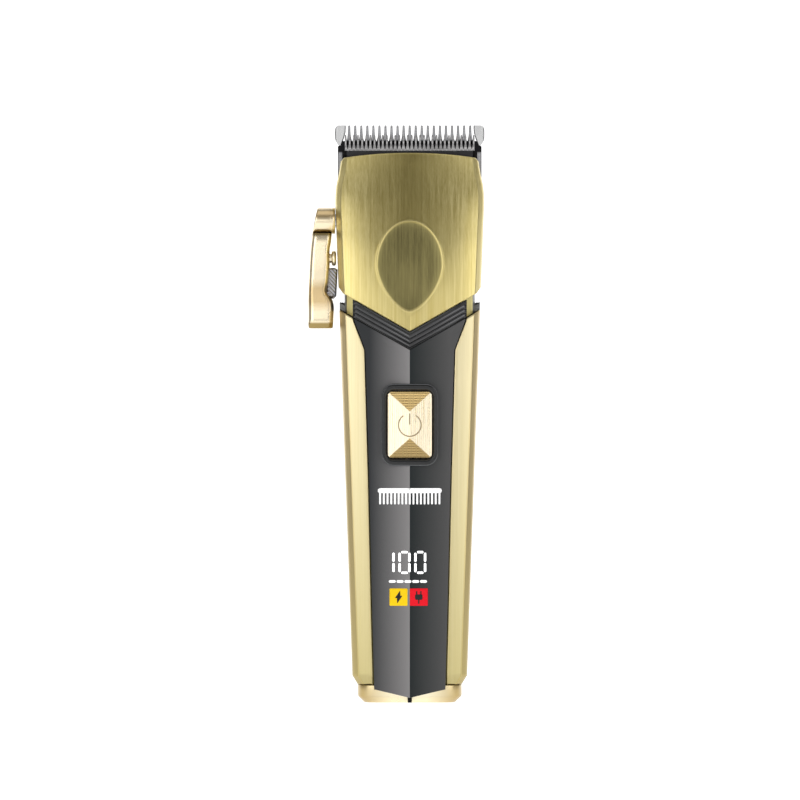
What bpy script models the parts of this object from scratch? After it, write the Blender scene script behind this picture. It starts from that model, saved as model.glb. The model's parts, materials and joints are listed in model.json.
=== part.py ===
"""Cordless hair clipper, modelled as the separate pieces it comes apart into.

The clipper stands upright on its base: +Z runs from the base up to the blade,
the button and display face -Y, and the taper lever is on the -X side.
Every size below is in millimetres, and MM turns it into metres.
"""
import math

import bmesh
import bpy
import numpy as np
from mathutils import Vector

MM = 0.001

# Fits
WALL = 1.0
SEAM = 0.3
COVER_WALL = 1.4
FRONT_WALL = 3.4

# Outside shape: half width, front depth and back depth at heights above the base
FRONT_POWER = 6.0
BACK_POWER = 2.8
HEAD_BACK_POWER = 4.0
SECTION_POINTS = 44
FRONT_DEPTH = 16.5
HANDLE_BOTTOM = 5.5
HANDLE_CHAMFER_TOP = 8.3
HANDLE_TOP = 122.3
HANDLE_WIDTHS = ((5.5, 16.2), (8.3, 17.9), (122.0, 21.9), (135.0, 22.3))
HANDLE_FRONTS = ((5.5, 15.2), (8.3, FRONT_DEPTH), (135.0, FRONT_DEPTH))
HEAD_WIDTHS = ((110.0, 21.8), (127.0, 22.1), (131.7, 22.3), (147.0, 22.9), (157.3, 23.25),
               (161.0, 22.9), (164.5, 22.1), (168.6, 21.5), (172.0, 21.3))
HEAD_FRONTS = ((110.0, FRONT_DEPTH), (122.0, FRONT_DEPTH), (131.0, 16.1), (140.0, 15.0), (148.0, 13.0),
               (157.0, 10.3), (165.0, 7.4), (172.0, 4.8))
HEAD_BACKS = (
    (120.0, 15.9),
    (129.0, 15.3),
    (137.0, 14.2),
    (144.0, 12.6),
    (149.6, 8.8),
    (155.0, 14.0),
    (172.0, 14.0),
)
BASE_BACK = 13.9
PALM_BULGE = 3.1
PALM_SPAN = 150.0

# V seams across the front
V_SLOPE = 0.567
V_HANDLE = 109.5
V_TRIM_LOW = 109.8
V_TRIM_HIGH = 114.9
V_COVER = 115.3
V_NECK_LOW = 109.9
V_NECK_HIGH = 121.0
TRIM_HALF_WIDTH = 17.45

# End cap
CAP_TOP = 5.2
CAP_HALF_WIDTH = 16.2
CAP_FRONT = 15.2
CAP_BACK = 12.6
CAP_CHAMFER = 2.0

# Front panel
PANEL_EDGE = 16.6
PANEL_RIDGE = 18.5
PANEL_BACK = 14.6
RECESS_FLOOR = 14.3

# Power button and its bezel
BUTTON_Z = 86.3
BUTTON_SIZE = (14.1, 21.0)
BUTTON_CORNER = 2.0
BEZEL_SIZE = (17.6, 25.5)
BEZEL_HOLE = (14.7, 21.6)
BEZEL_CORNER = 3.6
BEZEL_FRONT = 19.1
BUTTON_RIM = 18.3
BUTTON_APEX = 19.5
BUTTON_BACK = 15.0

# Blade stack
BLADE_FRONT_Y = 4.2
BLADE_BACK_Y = 6.8
BLADE_BOTTOM = 150.0
BLADE_TOP = 180.0
BLADE_HALF_WIDTH = 22.5
CORNER_HALF_WIDTH = 23.4
TOOTH_PITCH = 1.894
TOOTH_GAPS = 22
TOOTH_ROOT_Z = 175.0
CUTTER_FRONT_Y = 1.8
CUTTER_BACK_Y = 3.95
CUTTER_PITCH = 1.294
CUTTER_GAPS = 31
CUTTER_ROOT_Z = 172.5
CUTTER_TIP_Z = 177.0
CUTTER_HALF_WIDTH = 20.3
SCREW_X = 18.5
SCREW_Z = 160.0

# Drive
MOTOR_Y = -0.5
MOTOR_RADIUS = 10.5
MOTOR_BOTTOM = 112.0
MOTOR_TOP = 143.0
MOUNT_BOTTOM = 143.3
MOUNT_TOP = 145.0
PIN_OFFSET = 1.2
PIN_RADIUS = 1.0

# Taper lever
LEVER_Y = -3.0
LEVER_Z = 149.9
HUB_RADIUS = 4.1
CRANK_OFFSET = 2.72

# Battery and board
CELL_RADIUS = 9.2
CELL_Y = 2.0
CELL_BOTTOM = 20.0
CELL_TOP = 85.0
BOARD_FRONT = -9.6
BOARD_BACK = -8.0
HOUSING_SCREWS = ((-13.0, 16.0, 6.6), (13.0, 16.0, 6.6), (-13.0, 105.5, 10.6), (13.0, 105.5, 10.6))

PARTS = "hair_clipper"
CUTTERS = "cutters"

MATERIALS = {
    "gold_brushed": ((0.62, 0.52, 0.24), 0.35, 1.0),
    "gold_satin": ((0.80, 0.62, 0.36), 0.30, 1.0),
    "black_gloss": ((0.03, 0.03, 0.035), 0.15, 0.0),
    "black_matte": ((0.04, 0.04, 0.04), 0.55, 0.0),
    "steel": ((0.55, 0.55, 0.57), 0.28, 1.0),
    "dark_steel": ((0.25, 0.25, 0.27), 0.35, 1.0),
    "nylon": ((0.82, 0.80, 0.74), 0.50, 0.0),
    "copper": ((0.72, 0.38, 0.22), 0.30, 1.0),
    "board": ((0.03, 0.22, 0.10), 0.45, 0.0),
    "cell_wrap": ((0.08, 0.22, 0.45), 0.40, 0.0),
    "rubber": ((0.05, 0.05, 0.05), 0.75, 0.0),
    "lens_yellow": ((0.95, 0.75, 0.05), 0.30, 0.0),
    "lens_red": ((0.85, 0.05, 0.05), 0.30, 0.0),
    "lead_red": ((0.70, 0.03, 0.03), 0.50, 0.0),
    "lead_black": ((0.02, 0.02, 0.02), 0.50, 0.0),
}


# ---------------------------------------------------------------- helpers

def clear_scene():
    """Start from an empty scene with one collection for parts and one for cutters."""
    for thing in list(bpy.data.objects):
        bpy.data.objects.remove(thing, do_unlink=True)
    for name in (PARTS, CUTTERS):
        group = bpy.data.collections.get(name) or bpy.data.collections.new(name)
        if group.name not in bpy.context.scene.collection.children:
            bpy.context.scene.collection.children.link(group)


def get_material(name):
    """The named Principled material, made once."""
    found = bpy.data.materials.get(name)
    if found:
        return found
    color, roughness, metallic = MATERIALS[name]
    made = bpy.data.materials.new(name)
    made.use_nodes = True
    shader = made.node_tree.nodes["Principled BSDF"]
    shader.inputs["Base Color"].default_value = (*color, 1.0)
    shader.inputs["Roughness"].default_value = roughness
    shader.inputs["Metallic"].default_value = metallic
    return made


def link_object(name, data):
    """A new object in the parts collection."""
    piece = bpy.data.objects.new(name, data)
    bpy.data.collections[PARTS].objects.link(piece)
    return piece


def dress(piece, material_name, smooth_degrees=35.0):
    """Give a piece its material, and smooth its rounded faces."""
    piece.data.materials.clear()
    piece.data.materials.append(get_material(material_name))
    if piece.type == "MESH":
        piece.data.shade_smooth()
        piece.data.set_sharp_from_angle(angle=math.radians(smooth_degrees))
    return piece


def mesh_object(name, shape):
    """An object from a bmesh, which is freed."""
    mesh = bpy.data.meshes.new(name)
    shape.to_mesh(mesh)
    shape.free()
    return link_object(name, mesh)


def box(name, low, high):
    """A block between two corners."""
    low = Vector(low) * MM
    high = Vector(high) * MM
    shape = bmesh.new()
    bmesh.ops.create_cube(shape, size=1.0)
    bmesh.ops.scale(shape, vec=high - low, verts=shape.verts)
    piece = mesh_object(name, shape)
    piece.location = (low + high) / 2
    return piece


def rod(name, radius, start, end, sides=24, end_radius=None):
    """A round bar or cone between two points."""
    start = Vector(start) * MM
    end = Vector(end) * MM
    run = end - start
    shape = bmesh.new()
    bmesh.ops.create_cone(shape, cap_ends=True, cap_tris=False, segments=sides, radius1=radius * MM,
                          radius2=(radius if end_radius is None else end_radius) * MM, depth=run.length)
    piece = mesh_object(name, shape)
    piece.location = (start + end) / 2
    piece.rotation_euler = run.to_track_quat("Z", "Y").to_euler()
    return piece


def to_mesh_object(curve_object):
    """The curve as a welded mesh object in the same place."""
    bpy.context.view_layer.update()
    evaluated = curve_object.evaluated_get(bpy.context.evaluated_depsgraph_get())
    mesh = bpy.data.meshes.new_from_object(evaluated)
    shape = bmesh.new()
    shape.from_mesh(mesh)
    bmesh.ops.remove_doubles(shape, verts=shape.verts, dist=0.00001)
    bmesh.ops.recalc_face_normals(shape, faces=shape.faces)
    shape.to_mesh(mesh)
    shape.free()
    name = curve_object.name
    place = curve_object.matrix_world.copy()
    bpy.data.objects.remove(curve_object, do_unlink=True)
    piece = link_object(name, mesh)
    piece.matrix_world = place
    return piece


def slab(name, outline, start, end, facing="Y"):
    """A flat outline with a thickness from start to end along the axis it faces.

    The outline holds (x, z) pairs when it faces Y, (y, z) when it faces X and (x, y) when it faces Z.
    """
    curve = bpy.data.curves.new(name, "CURVE")
    curve.dimensions = "2D"
    curve.fill_mode = "BOTH"
    curve.extrude = abs(end - start) * MM / 2
    spline = curve.splines.new("POLY")
    spline.points.add(len(outline) - 1)
    for point, (across, along) in zip(spline.points, outline):
        point.co = (across * MM, along * MM, 0.0, 1.0)
    spline.use_cyclic_u = True
    piece = link_object(name, curve)
    middle = (start + end) * MM / 2
    quarter = math.pi / 2
    if facing == "Y":
        piece.location = (0.0, middle, 0.0)
        piece.rotation_euler = (quarter, 0.0, 0.0)
    elif facing == "X":
        piece.location = (middle, 0.0, 0.0)
        piece.rotation_euler = (quarter, 0.0, quarter)
    else:
        piece.location = (0.0, 0.0, middle)
    return to_mesh_object(piece)


def tube(name, route, radius, steps=4):
    """A wire of round section along a smooth route through the given points."""
    knots = np.array(route, dtype=float)
    ends = np.vstack([2 * knots[0] - knots[1], knots, 2 * knots[-1] - knots[-2]])
    points = []
    for index in range(len(knots) - 1):
        p0, p1, p2, p3 = ends[index:index + 4]
        for t in np.arange(steps) / steps:
            points.append(0.5 * (2 * p1 + (p2 - p0) * t + (2 * p0 - 5 * p1 + 4 * p2 - p3) * t ** 2
                                 + (3 * p1 - p0 - 3 * p2 + p3) * t ** 3))
    points.append(knots[-1])
    curve = bpy.data.curves.new(name, "CURVE")
    curve.dimensions = "3D"
    curve.bevel_depth = radius * MM
    curve.bevel_resolution = 2
    curve.use_fill_caps = True
    spline = curve.splines.new("POLY")
    spline.points.add(len(points) - 1)
    for point, place in zip(spline.points, points):
        point.co = (*(place * MM), 1.0)
    return link_object(name, curve)


def hide_as_cutter(tool):
    """Keep a cutter out of the parts."""
    bpy.data.collections[PARTS].objects.unlink(tool)
    bpy.data.collections[CUTTERS].objects.link(tool)
    tool.hide_render = True
    tool.display_type = "WIRE"


def boolean(target, tool, operation):
    """Apply a cutter to a piece with a live Boolean."""
    modifier = target.modifiers.new(operation.title(), "BOOLEAN")
    modifier.operation = operation
    modifier.solver = "EXACT"
    modifier.object = tool
    hide_as_cutter(tool)


def cut(target, *tools):
    """Take each tool's shape out of a piece."""
    for tool in tools:
        boolean(target, tool, "DIFFERENCE")


def join(target, *tools):
    """Add each tool's shape to a piece."""
    for tool in tools:
        boolean(target, tool, "UNION")


def keep_inside(target, *tools):
    """Keep only what lies inside each tool."""
    for tool in tools:
        boolean(target, tool, "INTERSECT")


def round_edges(piece, radius, segments=2, degrees=40.0):
    """Round a piece's sharp edges."""
    modifier = piece.modifiers.new("Bevel", "BEVEL")
    modifier.width = radius * MM
    modifier.segments = segments
    modifier.limit_method = "ANGLE"
    modifier.angle_limit = math.radians(degrees)


def hang_on(axis_name, location, *pieces):
    """Parent moving pieces to an empty on their joint's axis."""
    axis = bpy.data.objects.new(axis_name, None)
    bpy.data.collections[PARTS].objects.link(axis)
    axis.location = Vector(location) * MM
    bpy.context.view_layer.update()
    for piece in pieces:
        piece.parent = axis
        piece.matrix_parent_inverse = axis.matrix_world.inverted()


# ---------------------------------------------------------------- outlines and sections

def at(stations, height):
    """A size at a height, from (height, size) stations."""
    heights, sizes = zip(*stations)
    return float(np.interp(height, heights, sizes))


def palm_back(height):
    """The handle's back depth, which swells to fill the palm."""
    share = (height - HANDLE_CHAMFER_TOP) / PALM_SPAN
    if share < 0:
        return BASE_BACK - 1.2 * (HANDLE_CHAMFER_TOP - height) / (HANDLE_CHAMFER_TOP - HANDLE_BOTTOM)
    return BASE_BACK + PALM_BULGE * math.sin(math.pi * share)


def section(half_width, front, back, height, back_power=BACK_POWER):
    """A ring at one height: a squarish superellipse in front and a rounder one behind."""
    turn = np.linspace(0.0, 2 * np.pi, SECTION_POINTS, endpoint=False)
    cosine = np.cos(turn)
    sine = np.sin(turn)
    cosine[np.abs(cosine) < 1e-9] = 0.0
    sine[np.abs(sine) < 1e-9] = 0.0
    power = np.where(sine < 0, 2 / FRONT_POWER, 2 / back_power)
    depth = np.where(sine < 0, front, back)
    x = half_width * np.sign(cosine) * np.abs(cosine) ** power
    y = depth * np.sign(sine) * np.abs(sine) ** power
    return np.stack([x, y, np.full(SECTION_POINTS, height)], axis=1)


def loft(name, rings):
    """A closed body through rings that rise along Z."""
    count = len(rings[0])
    vertices = np.concatenate(rings) * MM
    faces = [tuple(reversed(range(count)))]
    for level in range(len(rings) - 1):
        low = level * count
        for side in range(count):
            after = (side + 1) % count
            faces.append((low + side, low + after, low + count + after, low + count + side))
    faces.append(tuple(range((len(rings) - 1) * count, len(rings) * count)))
    mesh = bpy.data.meshes.new(name)
    mesh.from_pydata(vertices.tolist(), [], faces)
    mesh.update()
    return link_object(name, mesh)


def handle_loft(name, heights, wall=0.0, front_wall=0.0):
    """The handle's outside shape, or its hollow when it is given wall thicknesses."""
    rings = []
    for height in heights:
        rings.append(section(at(HANDLE_WIDTHS, height) - wall, at(HANDLE_FRONTS, height) - front_wall,
                             palm_back(height) - wall, height))
    return loft(name, rings)


def head_loft(name, heights, wall=0.0, front_wall=0.0):
    """The head's outside shape, or its hollow when it is given wall thicknesses."""
    rings = []
    for height in heights:
        front = front_wall if height < 150.0 else min(front_wall, 1.1)
        rings.append(section(at(HEAD_WIDTHS, height) - wall, at(HEAD_FRONTS, height) - front,
                             at(HEAD_BACKS, height) - wall, height, HEAD_BACK_POWER))
    return loft(name, rings)


def plain_loft(name, half_width, front, back, low, high):
    """A straight body with the clipper's section."""
    return loft(name, [section(half_width, front, back, low), section(half_width, front, back, high)])


def rounded_rectangle(width, height, radius, centre, steps=5):
    """The outline of a rectangle with round corners."""
    points = []
    inset = (width / 2 - radius, height / 2 - radius)
    for corner, (side_x, side_z) in enumerate(((1, 1), (-1, 1), (-1, -1), (1, -1))):
        for step in range(steps):
            angle = math.pi / 2 * (corner + step / (steps - 1))
            points.append((centre[0] + side_x * inset[0] + radius * math.cos(angle),
                           centre[1] + side_z * inset[1] + radius * math.sin(angle)))
    return points


def mirrored(right_half):
    """A whole outline from its right half, listed from the bottom centre up to the top centre."""
    left = [(-x, z) for x, z in reversed(right_half) if x > 0]
    return list(right_half) + left


def v_outline(apex, depth_below=None, height_above=None, half_width=30.0):
    """The region below or above a V line whose point is at the apex height."""
    end = apex + V_SLOPE * half_width
    if height_above is None:
        return [(-half_width, depth_below), (half_width, depth_below), (half_width, end), (0.0, apex),
                (-half_width, end)]
    return [(-half_width, end), (0.0, apex), (half_width, end), (half_width, height_above),
            (-half_width, height_above)]


def below_v(name, apex, y_range=(-40.0, 40.0)):
    """A cutter for everything under a V line."""
    return slab(name, v_outline(apex, depth_below=60.0), *y_range)


def above_v(name, apex, y_range=(-40.0, 40.0)):
    """A cutter for everything over a V line."""
    return slab(name, v_outline(apex, height_above=200.0), *y_range)


# ---------------------------------------------------------------- casings

def make_end_cap():
    """Base cap: a shallow tray with a chamfered foot, a notch for the panel and the charging inlet."""
    cap = loft("end_cap", [
        section(CAP_HALF_WIDTH - CAP_CHAMFER, CAP_FRONT - CAP_CHAMFER, CAP_BACK - CAP_CHAMFER, 0.0),
        section(CAP_HALF_WIDTH, CAP_FRONT, CAP_BACK, CAP_CHAMFER),
        section(CAP_HALF_WIDTH, CAP_FRONT, CAP_BACK, CAP_TOP)])
    cut(cap, plain_loft("cap_hollow", CAP_HALF_WIDTH - 2.2, CAP_FRONT - 3.2, CAP_BACK - 2.2, 1.6, 7.0))
    cut(cap, slab("cap_panel_notch", panel_outline(SEAM), -30.0, -RECESS_FLOOR))
    cut(cap, box("cap_light_slot", (-0.95, -30.0, -1.0), (0.95, -13.6, 3.0)))
    cut(cap, slab("cap_inlet_hole", rounded_rectangle(9.6, 3.9, 1.6, (0.0, 6.0)), -1.0, 3.0, "Z"))
    return dress(cap, "gold_satin")


def panel_outline(margin=0.0, top=V_HANDLE - 0.1):
    """The front panel's outline: a long tongue that widens into shoulders under the V seam."""
    shoulder = 17.3 + margin
    return mirrored([
        (0.0, 1.75 - margin),
        (11.05 + margin, 4.3 - margin),
        (12.75 + margin, 72.3),
        (13.9 + margin, 109.9),
        (shoulder, 118.9),
        (shoulder, top + V_SLOPE * shoulder),
        (0.0, top)])


def make_front_housing():
    """Front shell of the handle, with the recess for the panel and posts for the screws."""
    housing = handle_loft("front_housing", (HANDLE_BOTTOM, HANDLE_CHAMFER_TOP, 35.0, 70.0, 100.0, 126.0))
    hollow_heights = (HANDLE_BOTTOM - 1.0, HANDLE_CHAMFER_TOP, 35.0, 70.0, 100.0, 127.0)
    cut(housing, handle_loft("front_hollow", hollow_heights, WALL, FRONT_WALL))
    cut(housing, box("front_rear_half", (-30.0, -SEAM / 2, 0.0), (30.0, 30.0, 130.0)))
    cut(housing, above_v("front_v_top", V_HANDLE))
    cut(housing, slab("panel_recess", panel_outline(SEAM, V_HANDLE + 3.0), -30.0, -RECESS_FLOOR))
    for number, (x, z, _) in enumerate(HOUSING_SCREWS):
        join(housing, rod(f"front_post_{number}", 2.6, (x, -13.6, z), (x, -0.5, z), 16))
        cut(housing, rod(f"front_post_bore_{number}", 1.15, (x, -7.0, z), (x, 1.0, z), 12))
    cut(housing, slab("bezel_opening", rounded_rectangle(BEZEL_SIZE[0] + 0.6, BEZEL_SIZE[1] + 0.6,
                                                         BEZEL_CORNER, (0.0, BUTTON_Z)), -20.0, -5.0))
    cut(housing, box("display_opening", (-7.6, -20.0, 28.6), (7.6, -5.0, 49.0)))
    return dress(housing, "gold_brushed")


def make_rear_housing():
    """Rear shell of the handle, with counterbored bosses for four screws."""
    housing = handle_loft("rear_housing",
                          (HANDLE_BOTTOM, HANDLE_CHAMFER_TOP, 28.0, 46.0, 64.0, 82.0, 100.0, HANDLE_TOP))
    cut(housing, handle_loft("rear_hollow", (HANDLE_BOTTOM - 1.0, HANDLE_CHAMFER_TOP, 28.0, 46.0, 64.0, 82.0,
                                             100.0, HANDLE_TOP + 1.0), WALL, WALL))
    cut(housing, box("rear_front_half", (-30.0, -30.0, 0.0), (30.0, SEAM / 2, 130.0)))
    for number, (x, z, seat) in enumerate(HOUSING_SCREWS):
        join(housing, rod(f"rear_post_{number}", 2.6, (x, 0.5, z), (x, seat + 2.6, z), 16))
        cut(housing, rod(f"rear_counterbore_{number}", 2.2, (x, seat, z), (x, 25.0, z), 16))
        cut(housing, rod(f"rear_post_bore_{number}", 1.15, (x, -1.0, z), (x, seat + 1.0, z), 12))
    return dress(housing, "gold_brushed")


def make_front_panel():
    """Black panel: two facets that meet in a ridge down the middle."""
    half = 20.0
    roof = [(-half, -PANEL_BACK), (-half, panel_face(half)), (0.0, panel_face(0.0)),
            (half, panel_face(half)), (half, -PANEL_BACK)]
    panel = slab("front_panel", roof, 0.0, 125.0, "Z")
    keep_inside(panel, slab("panel_shape", panel_outline(), -30.0, -10.0))
    cut(panel, slab("panel_bezel_hole", rounded_rectangle(BEZEL_SIZE[0] + 0.5, BEZEL_SIZE[1] + 0.5,
                                                          BEZEL_CORNER, (0.0, BUTTON_Z)), -30.0, -5.0))
    return dress(panel, "black_gloss", 5.0)


def panel_face(distance):
    """The y of the panel's face at a distance from its ridge."""
    fall = (PANEL_RIDGE - PANEL_EDGE) * distance / 12.75
    return -max(PANEL_RIDGE - fall, PANEL_BACK + 1.3)


def make_chevron_trim():
    """Black V trim between the handle and the head cover, wrapped round the neck."""
    trim = plain_loft("chevron_trim", 21.8, FRONT_DEPTH + 0.3, 10.0, 105.0, 128.0)
    cut(trim, plain_loft("trim_inside", 20.8, 15.0, 12.0, 104.0, 129.0))
    shoulder = V_TRIM_HIGH + V_SLOPE * TRIM_HALF_WIDTH
    keep_inside(trim, slab("trim_shape", mirrored([
        (0.0, V_TRIM_LOW), (TRIM_HALF_WIDTH, V_TRIM_LOW + V_SLOPE * TRIM_HALF_WIDTH),
        (TRIM_HALF_WIDTH, shoulder - 1.0), (TRIM_HALF_WIDTH - 1.1, shoulder - 0.55), (0.0, V_TRIM_HIGH)]),
        -30.0, -6.0))
    return dress(trim, "black_gloss")


def make_neck_ring():
    """Gold sleeve that joins the handle to the head, seen in the notch between them."""
    ring = plain_loft("neck_ring", 20.4, 14.5, 13.0, 105.0, 133.0)
    cut(ring, plain_loft("neck_hollow", 19.4, 13.5, 12.0, 104.0, 137.0))
    cut(ring, below_v("neck_v_bottom", V_NECK_LOW), above_v("neck_v_top", V_NECK_HIGH, (-40.0, -1.0)))
    return dress(ring, "gold_satin")


def make_neck_collar():
    """Dark collar round the sides and back of the neck, on top of the rear housing."""
    collar = plain_loft("neck_collar", 21.9, 16.2, 15.8, HANDLE_TOP + SEAM, 124.4)
    cut(collar, plain_loft("collar_hollow", 20.7, 15.0, 13.3, 120.0, 126.0))
    cut(collar, box("collar_front", (-30.0, -30.0, 120.0), (30.0, -6.5, 126.0)))
    return dress(collar, "black_matte")


def make_head_cover():
    """Front head cover: a leaning shell with a thumb recess, open at the blade end and at the V seam."""
    heights = (112.0, 122.0, 131.0, 140.0, 148.0, 157.3, 161.0, 164.5, 168.6, 172.0)
    cover = head_loft("head_cover", heights)
    hollow_heights = (111.0, 122.0, 131.0, 140.0, 148.0, 157.3, 161.0, 164.5, 168.6, 173.0)
    cut(cover, head_loft("cover_hollow", hollow_heights, 1.1, COVER_WALL))
    cut(cover, box("cover_rear_half", (-30.0, 3.6, 100.0), (30.0, 30.0, 180.0)))
    cut(cover, below_v("cover_v_bottom", V_COVER))
    across = np.linspace(-30.0, 30.0, 21)
    arch = [(float(x), 171.1 - 1.6 * (float(x) / 21.3) ** 2) for x in across]
    cut(cover, slab("cover_arch", arch + [(30.0, 190.0), (-30.0, 190.0)], -30.0, 30.0))
    shape = bmesh.new()
    bmesh.ops.create_uvsphere(shape, u_segments=24, v_segments=12, radius=1.0)
    bmesh.ops.scale(shape, vec=(12.5 * MM, 3.0 * MM, 17.5 * MM), verts=shape.verts)
    dish = mesh_object("thumb_dish", shape)
    dish.location = (0.0, -(15.5 + 2.05) * MM, 135.5 * MM)
    dish.rotation_euler = (math.radians(-7.0), 0.0, 0.0)
    cut(cover, dish)
    cut(cover, rod("cover_lever_bore", 2.6, (-30.0, LEVER_Y, LEVER_Z), (-15.0, LEVER_Y, LEVER_Z), 20))
    return dress(cover, "gold_brushed", 25.0)


def make_head_back():
    """Rear head cover, closed over the top where the blade starts."""
    back = head_loft("head_back", (129.3, 137.0, 144.0, 149.6))
    cut(back, head_loft("back_hollow", (128.0, 137.0, 144.0, 148.4), 1.1, 1.1))
    cut(back, box("back_front_half", (-30.0, -30.0, 100.0), (30.0, 3.9, 180.0)))
    return dress(back, "gold_brushed")


# ---------------------------------------------------------------- blade

def comb_cutter(name, pitch, gaps, root, tip, root_gap, tip_gap, back):
    """The spaces between teeth: one tapered slot from root to past the tips, repeated along X."""
    beyond = 2.0
    top_gap = tip_gap + (tip_gap - root_gap) * beyond / (tip - root)
    centre = -(gaps - 1) / 2 * pitch
    slot = slab(name, [(centre - root_gap / 2, root), (centre + root_gap / 2, root),
                       (centre + top_gap / 2, tip + beyond), (centre - top_gap / 2, tip + beyond)], 0.0, back)
    repeat = slot.modifiers.new("Array", "ARRAY")
    repeat.count = gaps
    repeat.use_relative_offset = False
    repeat.use_constant_offset = True
    repeat.constant_offset_displace = (pitch * MM, 0.0, 0.0)
    return slot


def make_fixed_blade():
    """Fixed blade: a ground plate whose teeth thin towards their tips, with a broad tooth at each corner."""
    side = [(BLADE_FRONT_Y, BLADE_BOTTOM), (BLADE_BACK_Y, BLADE_BOTTOM), (BLADE_BACK_Y, 171.0),
            (5.3, BLADE_TOP), (BLADE_FRONT_Y, BLADE_TOP)]
    blade = slab("fixed_blade", side, -CORNER_HALF_WIDTH - 1.0, CORNER_HALF_WIDTH + 1.0, "X")
    keep_inside(blade, slab("blade_shape", mirrored([
        (0.0, BLADE_BOTTOM - 1.0), (20.5, BLADE_BOTTOM - 1.0), (20.5, BLADE_BOTTOM + 0.5),
        (BLADE_HALF_WIDTH, BLADE_BOTTOM + 2.5), (BLADE_HALF_WIDTH, 173.7), (CORNER_HALF_WIDTH, 174.6),
        (CORNER_HALF_WIDTH, 179.0), (21.6, BLADE_TOP + 1.2), (0.0, BLADE_TOP + 1.5)]), 0.0, 12.0))
    cut(blade, comb_cutter("blade_gaps", TOOTH_PITCH, TOOTH_GAPS, TOOTH_ROOT_Z, BLADE_TOP, 0.84, 1.24, 12.0))
    for side_sign in (-1, 1):
        x = side_sign * SCREW_X
        cut(blade, rod(f"blade_bore_{side_sign}", 1.5, (x, 0.0, SCREW_Z), (x, 10.0, SCREW_Z), 16))
    return dress(blade, "steel")


def make_cutter_blade():
    """Moving cutter, whose finer teeth sweep across the fixed blade."""
    cutter = box("cutter_blade", (-CUTTER_HALF_WIDTH, CUTTER_FRONT_Y, 171.5),
                 (CUTTER_HALF_WIDTH, CUTTER_BACK_Y, CUTTER_TIP_Z))
    cut(cutter, comb_cutter("cutter_gaps", CUTTER_PITCH, CUTTER_GAPS, CUTTER_ROOT_Z, CUTTER_TIP_Z,
                            0.6, 0.85, 6.0))
    join(cutter, box("cutter_neck", (-17.8, CUTTER_FRONT_Y + 0.1, 167.0), (17.8, CUTTER_BACK_Y - 0.1, 172.2)))
    join(cutter, box("cutter_tail", (-14.9, CUTTER_FRONT_Y + 0.2, 160.0), (14.9, CUTTER_BACK_Y - 0.2, 168.0)))
    return dress(cutter, "dark_steel")


def make_cutter_follower():
    """Nylon yoke on the cutter: two legs that the eccentric pin turns between."""
    yoke = box("cutter_follower", (-5.6, -3.2, 153.5), (5.6, 1.5, 163.4))
    cut(yoke, box("yoke_slot", (-3.6, -10.0, 150.0), (3.6, 10.0, 159.5)))
    return dress(yoke, "nylon")


def make_blade_bracket():
    """Black bracket that carries the fixed blade, with a lip under the cutter's teeth."""
    bracket = box("blade_bracket", (-20.4, -2.4, 155.0), (20.4, 3.9, 165.5))
    join(bracket, box("bracket_lip", (-19.7, -2.4, 160.0), (19.7, 1.35, 171.8)))
    cut(bracket, box("bracket_window", (-16.6, -10.0, 150.0), (16.6, 10.0, 169.2)))
    for side_sign in (-1, 1):
        x = side_sign * SCREW_X
        cut(bracket, rod(f"bracket_bore_{side_sign}", 1.5, (x, -0.5, SCREW_Z), (x, 8.0, SCREW_Z), 16))
    return dress(bracket, "black_matte")


def make_cutter_carriage():
    """Black slide that the lever lifts to shorten the cut."""
    carriage = box("cutter_carriage", (-15.9, -2.9, 146.5), (15.9, 0.6, 167.2))
    cut(carriage, box("carriage_window", (-11.5, -10.0, 140.0), (11.5, 10.0, 164.0)))
    cut(carriage, box("carriage_short_leg", (5.0, -10.0, 140.0), (20.0, 10.0, 154.0)))
    join(carriage, box("carriage_foot", (-15.9, -2.9, 146.5), (-11.5, 2.2, 156.0)))
    cut(carriage, box("carriage_slot", (-20.0, -10.0, LEVER_Z - 1.25), (-5.0, 1.25, LEVER_Z + 1.25)))
    return dress(carriage, "black_matte")


def make_tension_spring():
    """Bent wire that presses the cutter on the fixed blade."""
    spring = tube("tension_spring", [(-13.5, 1.2, 157.5), (-13.5, 1.2, 163.0), (-11.0, 1.2, 166.6),
                                     (-4.0, 1.2, 166.9), (4.0, 1.2, 166.9), (11.0, 1.2, 166.6),
                                     (13.5, 1.2, 163.0), (13.5, 1.2, 157.5)], 0.35, 3)
    return dress(spring, "steel")


def make_blade_screw(name, side_sign):
    """Pan-head screw through the fixed blade into the bracket."""
    x = side_sign * SCREW_X
    screw = rod(name, 2.6, (x, BLADE_BACK_Y + SEAM, SCREW_Z), (x, 8.4, SCREW_Z), 24)
    join(screw, rod(f"{name}_shank", 1.15, (x, 0.2, SCREW_Z), (x, 7.6, SCREW_Z), 16))
    cut(screw, box(f"{name}_slot", (x - 3.0, 7.9, SCREW_Z - 0.35), (x + 3.0, 9.0, SCREW_Z + 0.35)))
    return dress(screw, "steel")


# ---------------------------------------------------------------- lever

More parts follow.
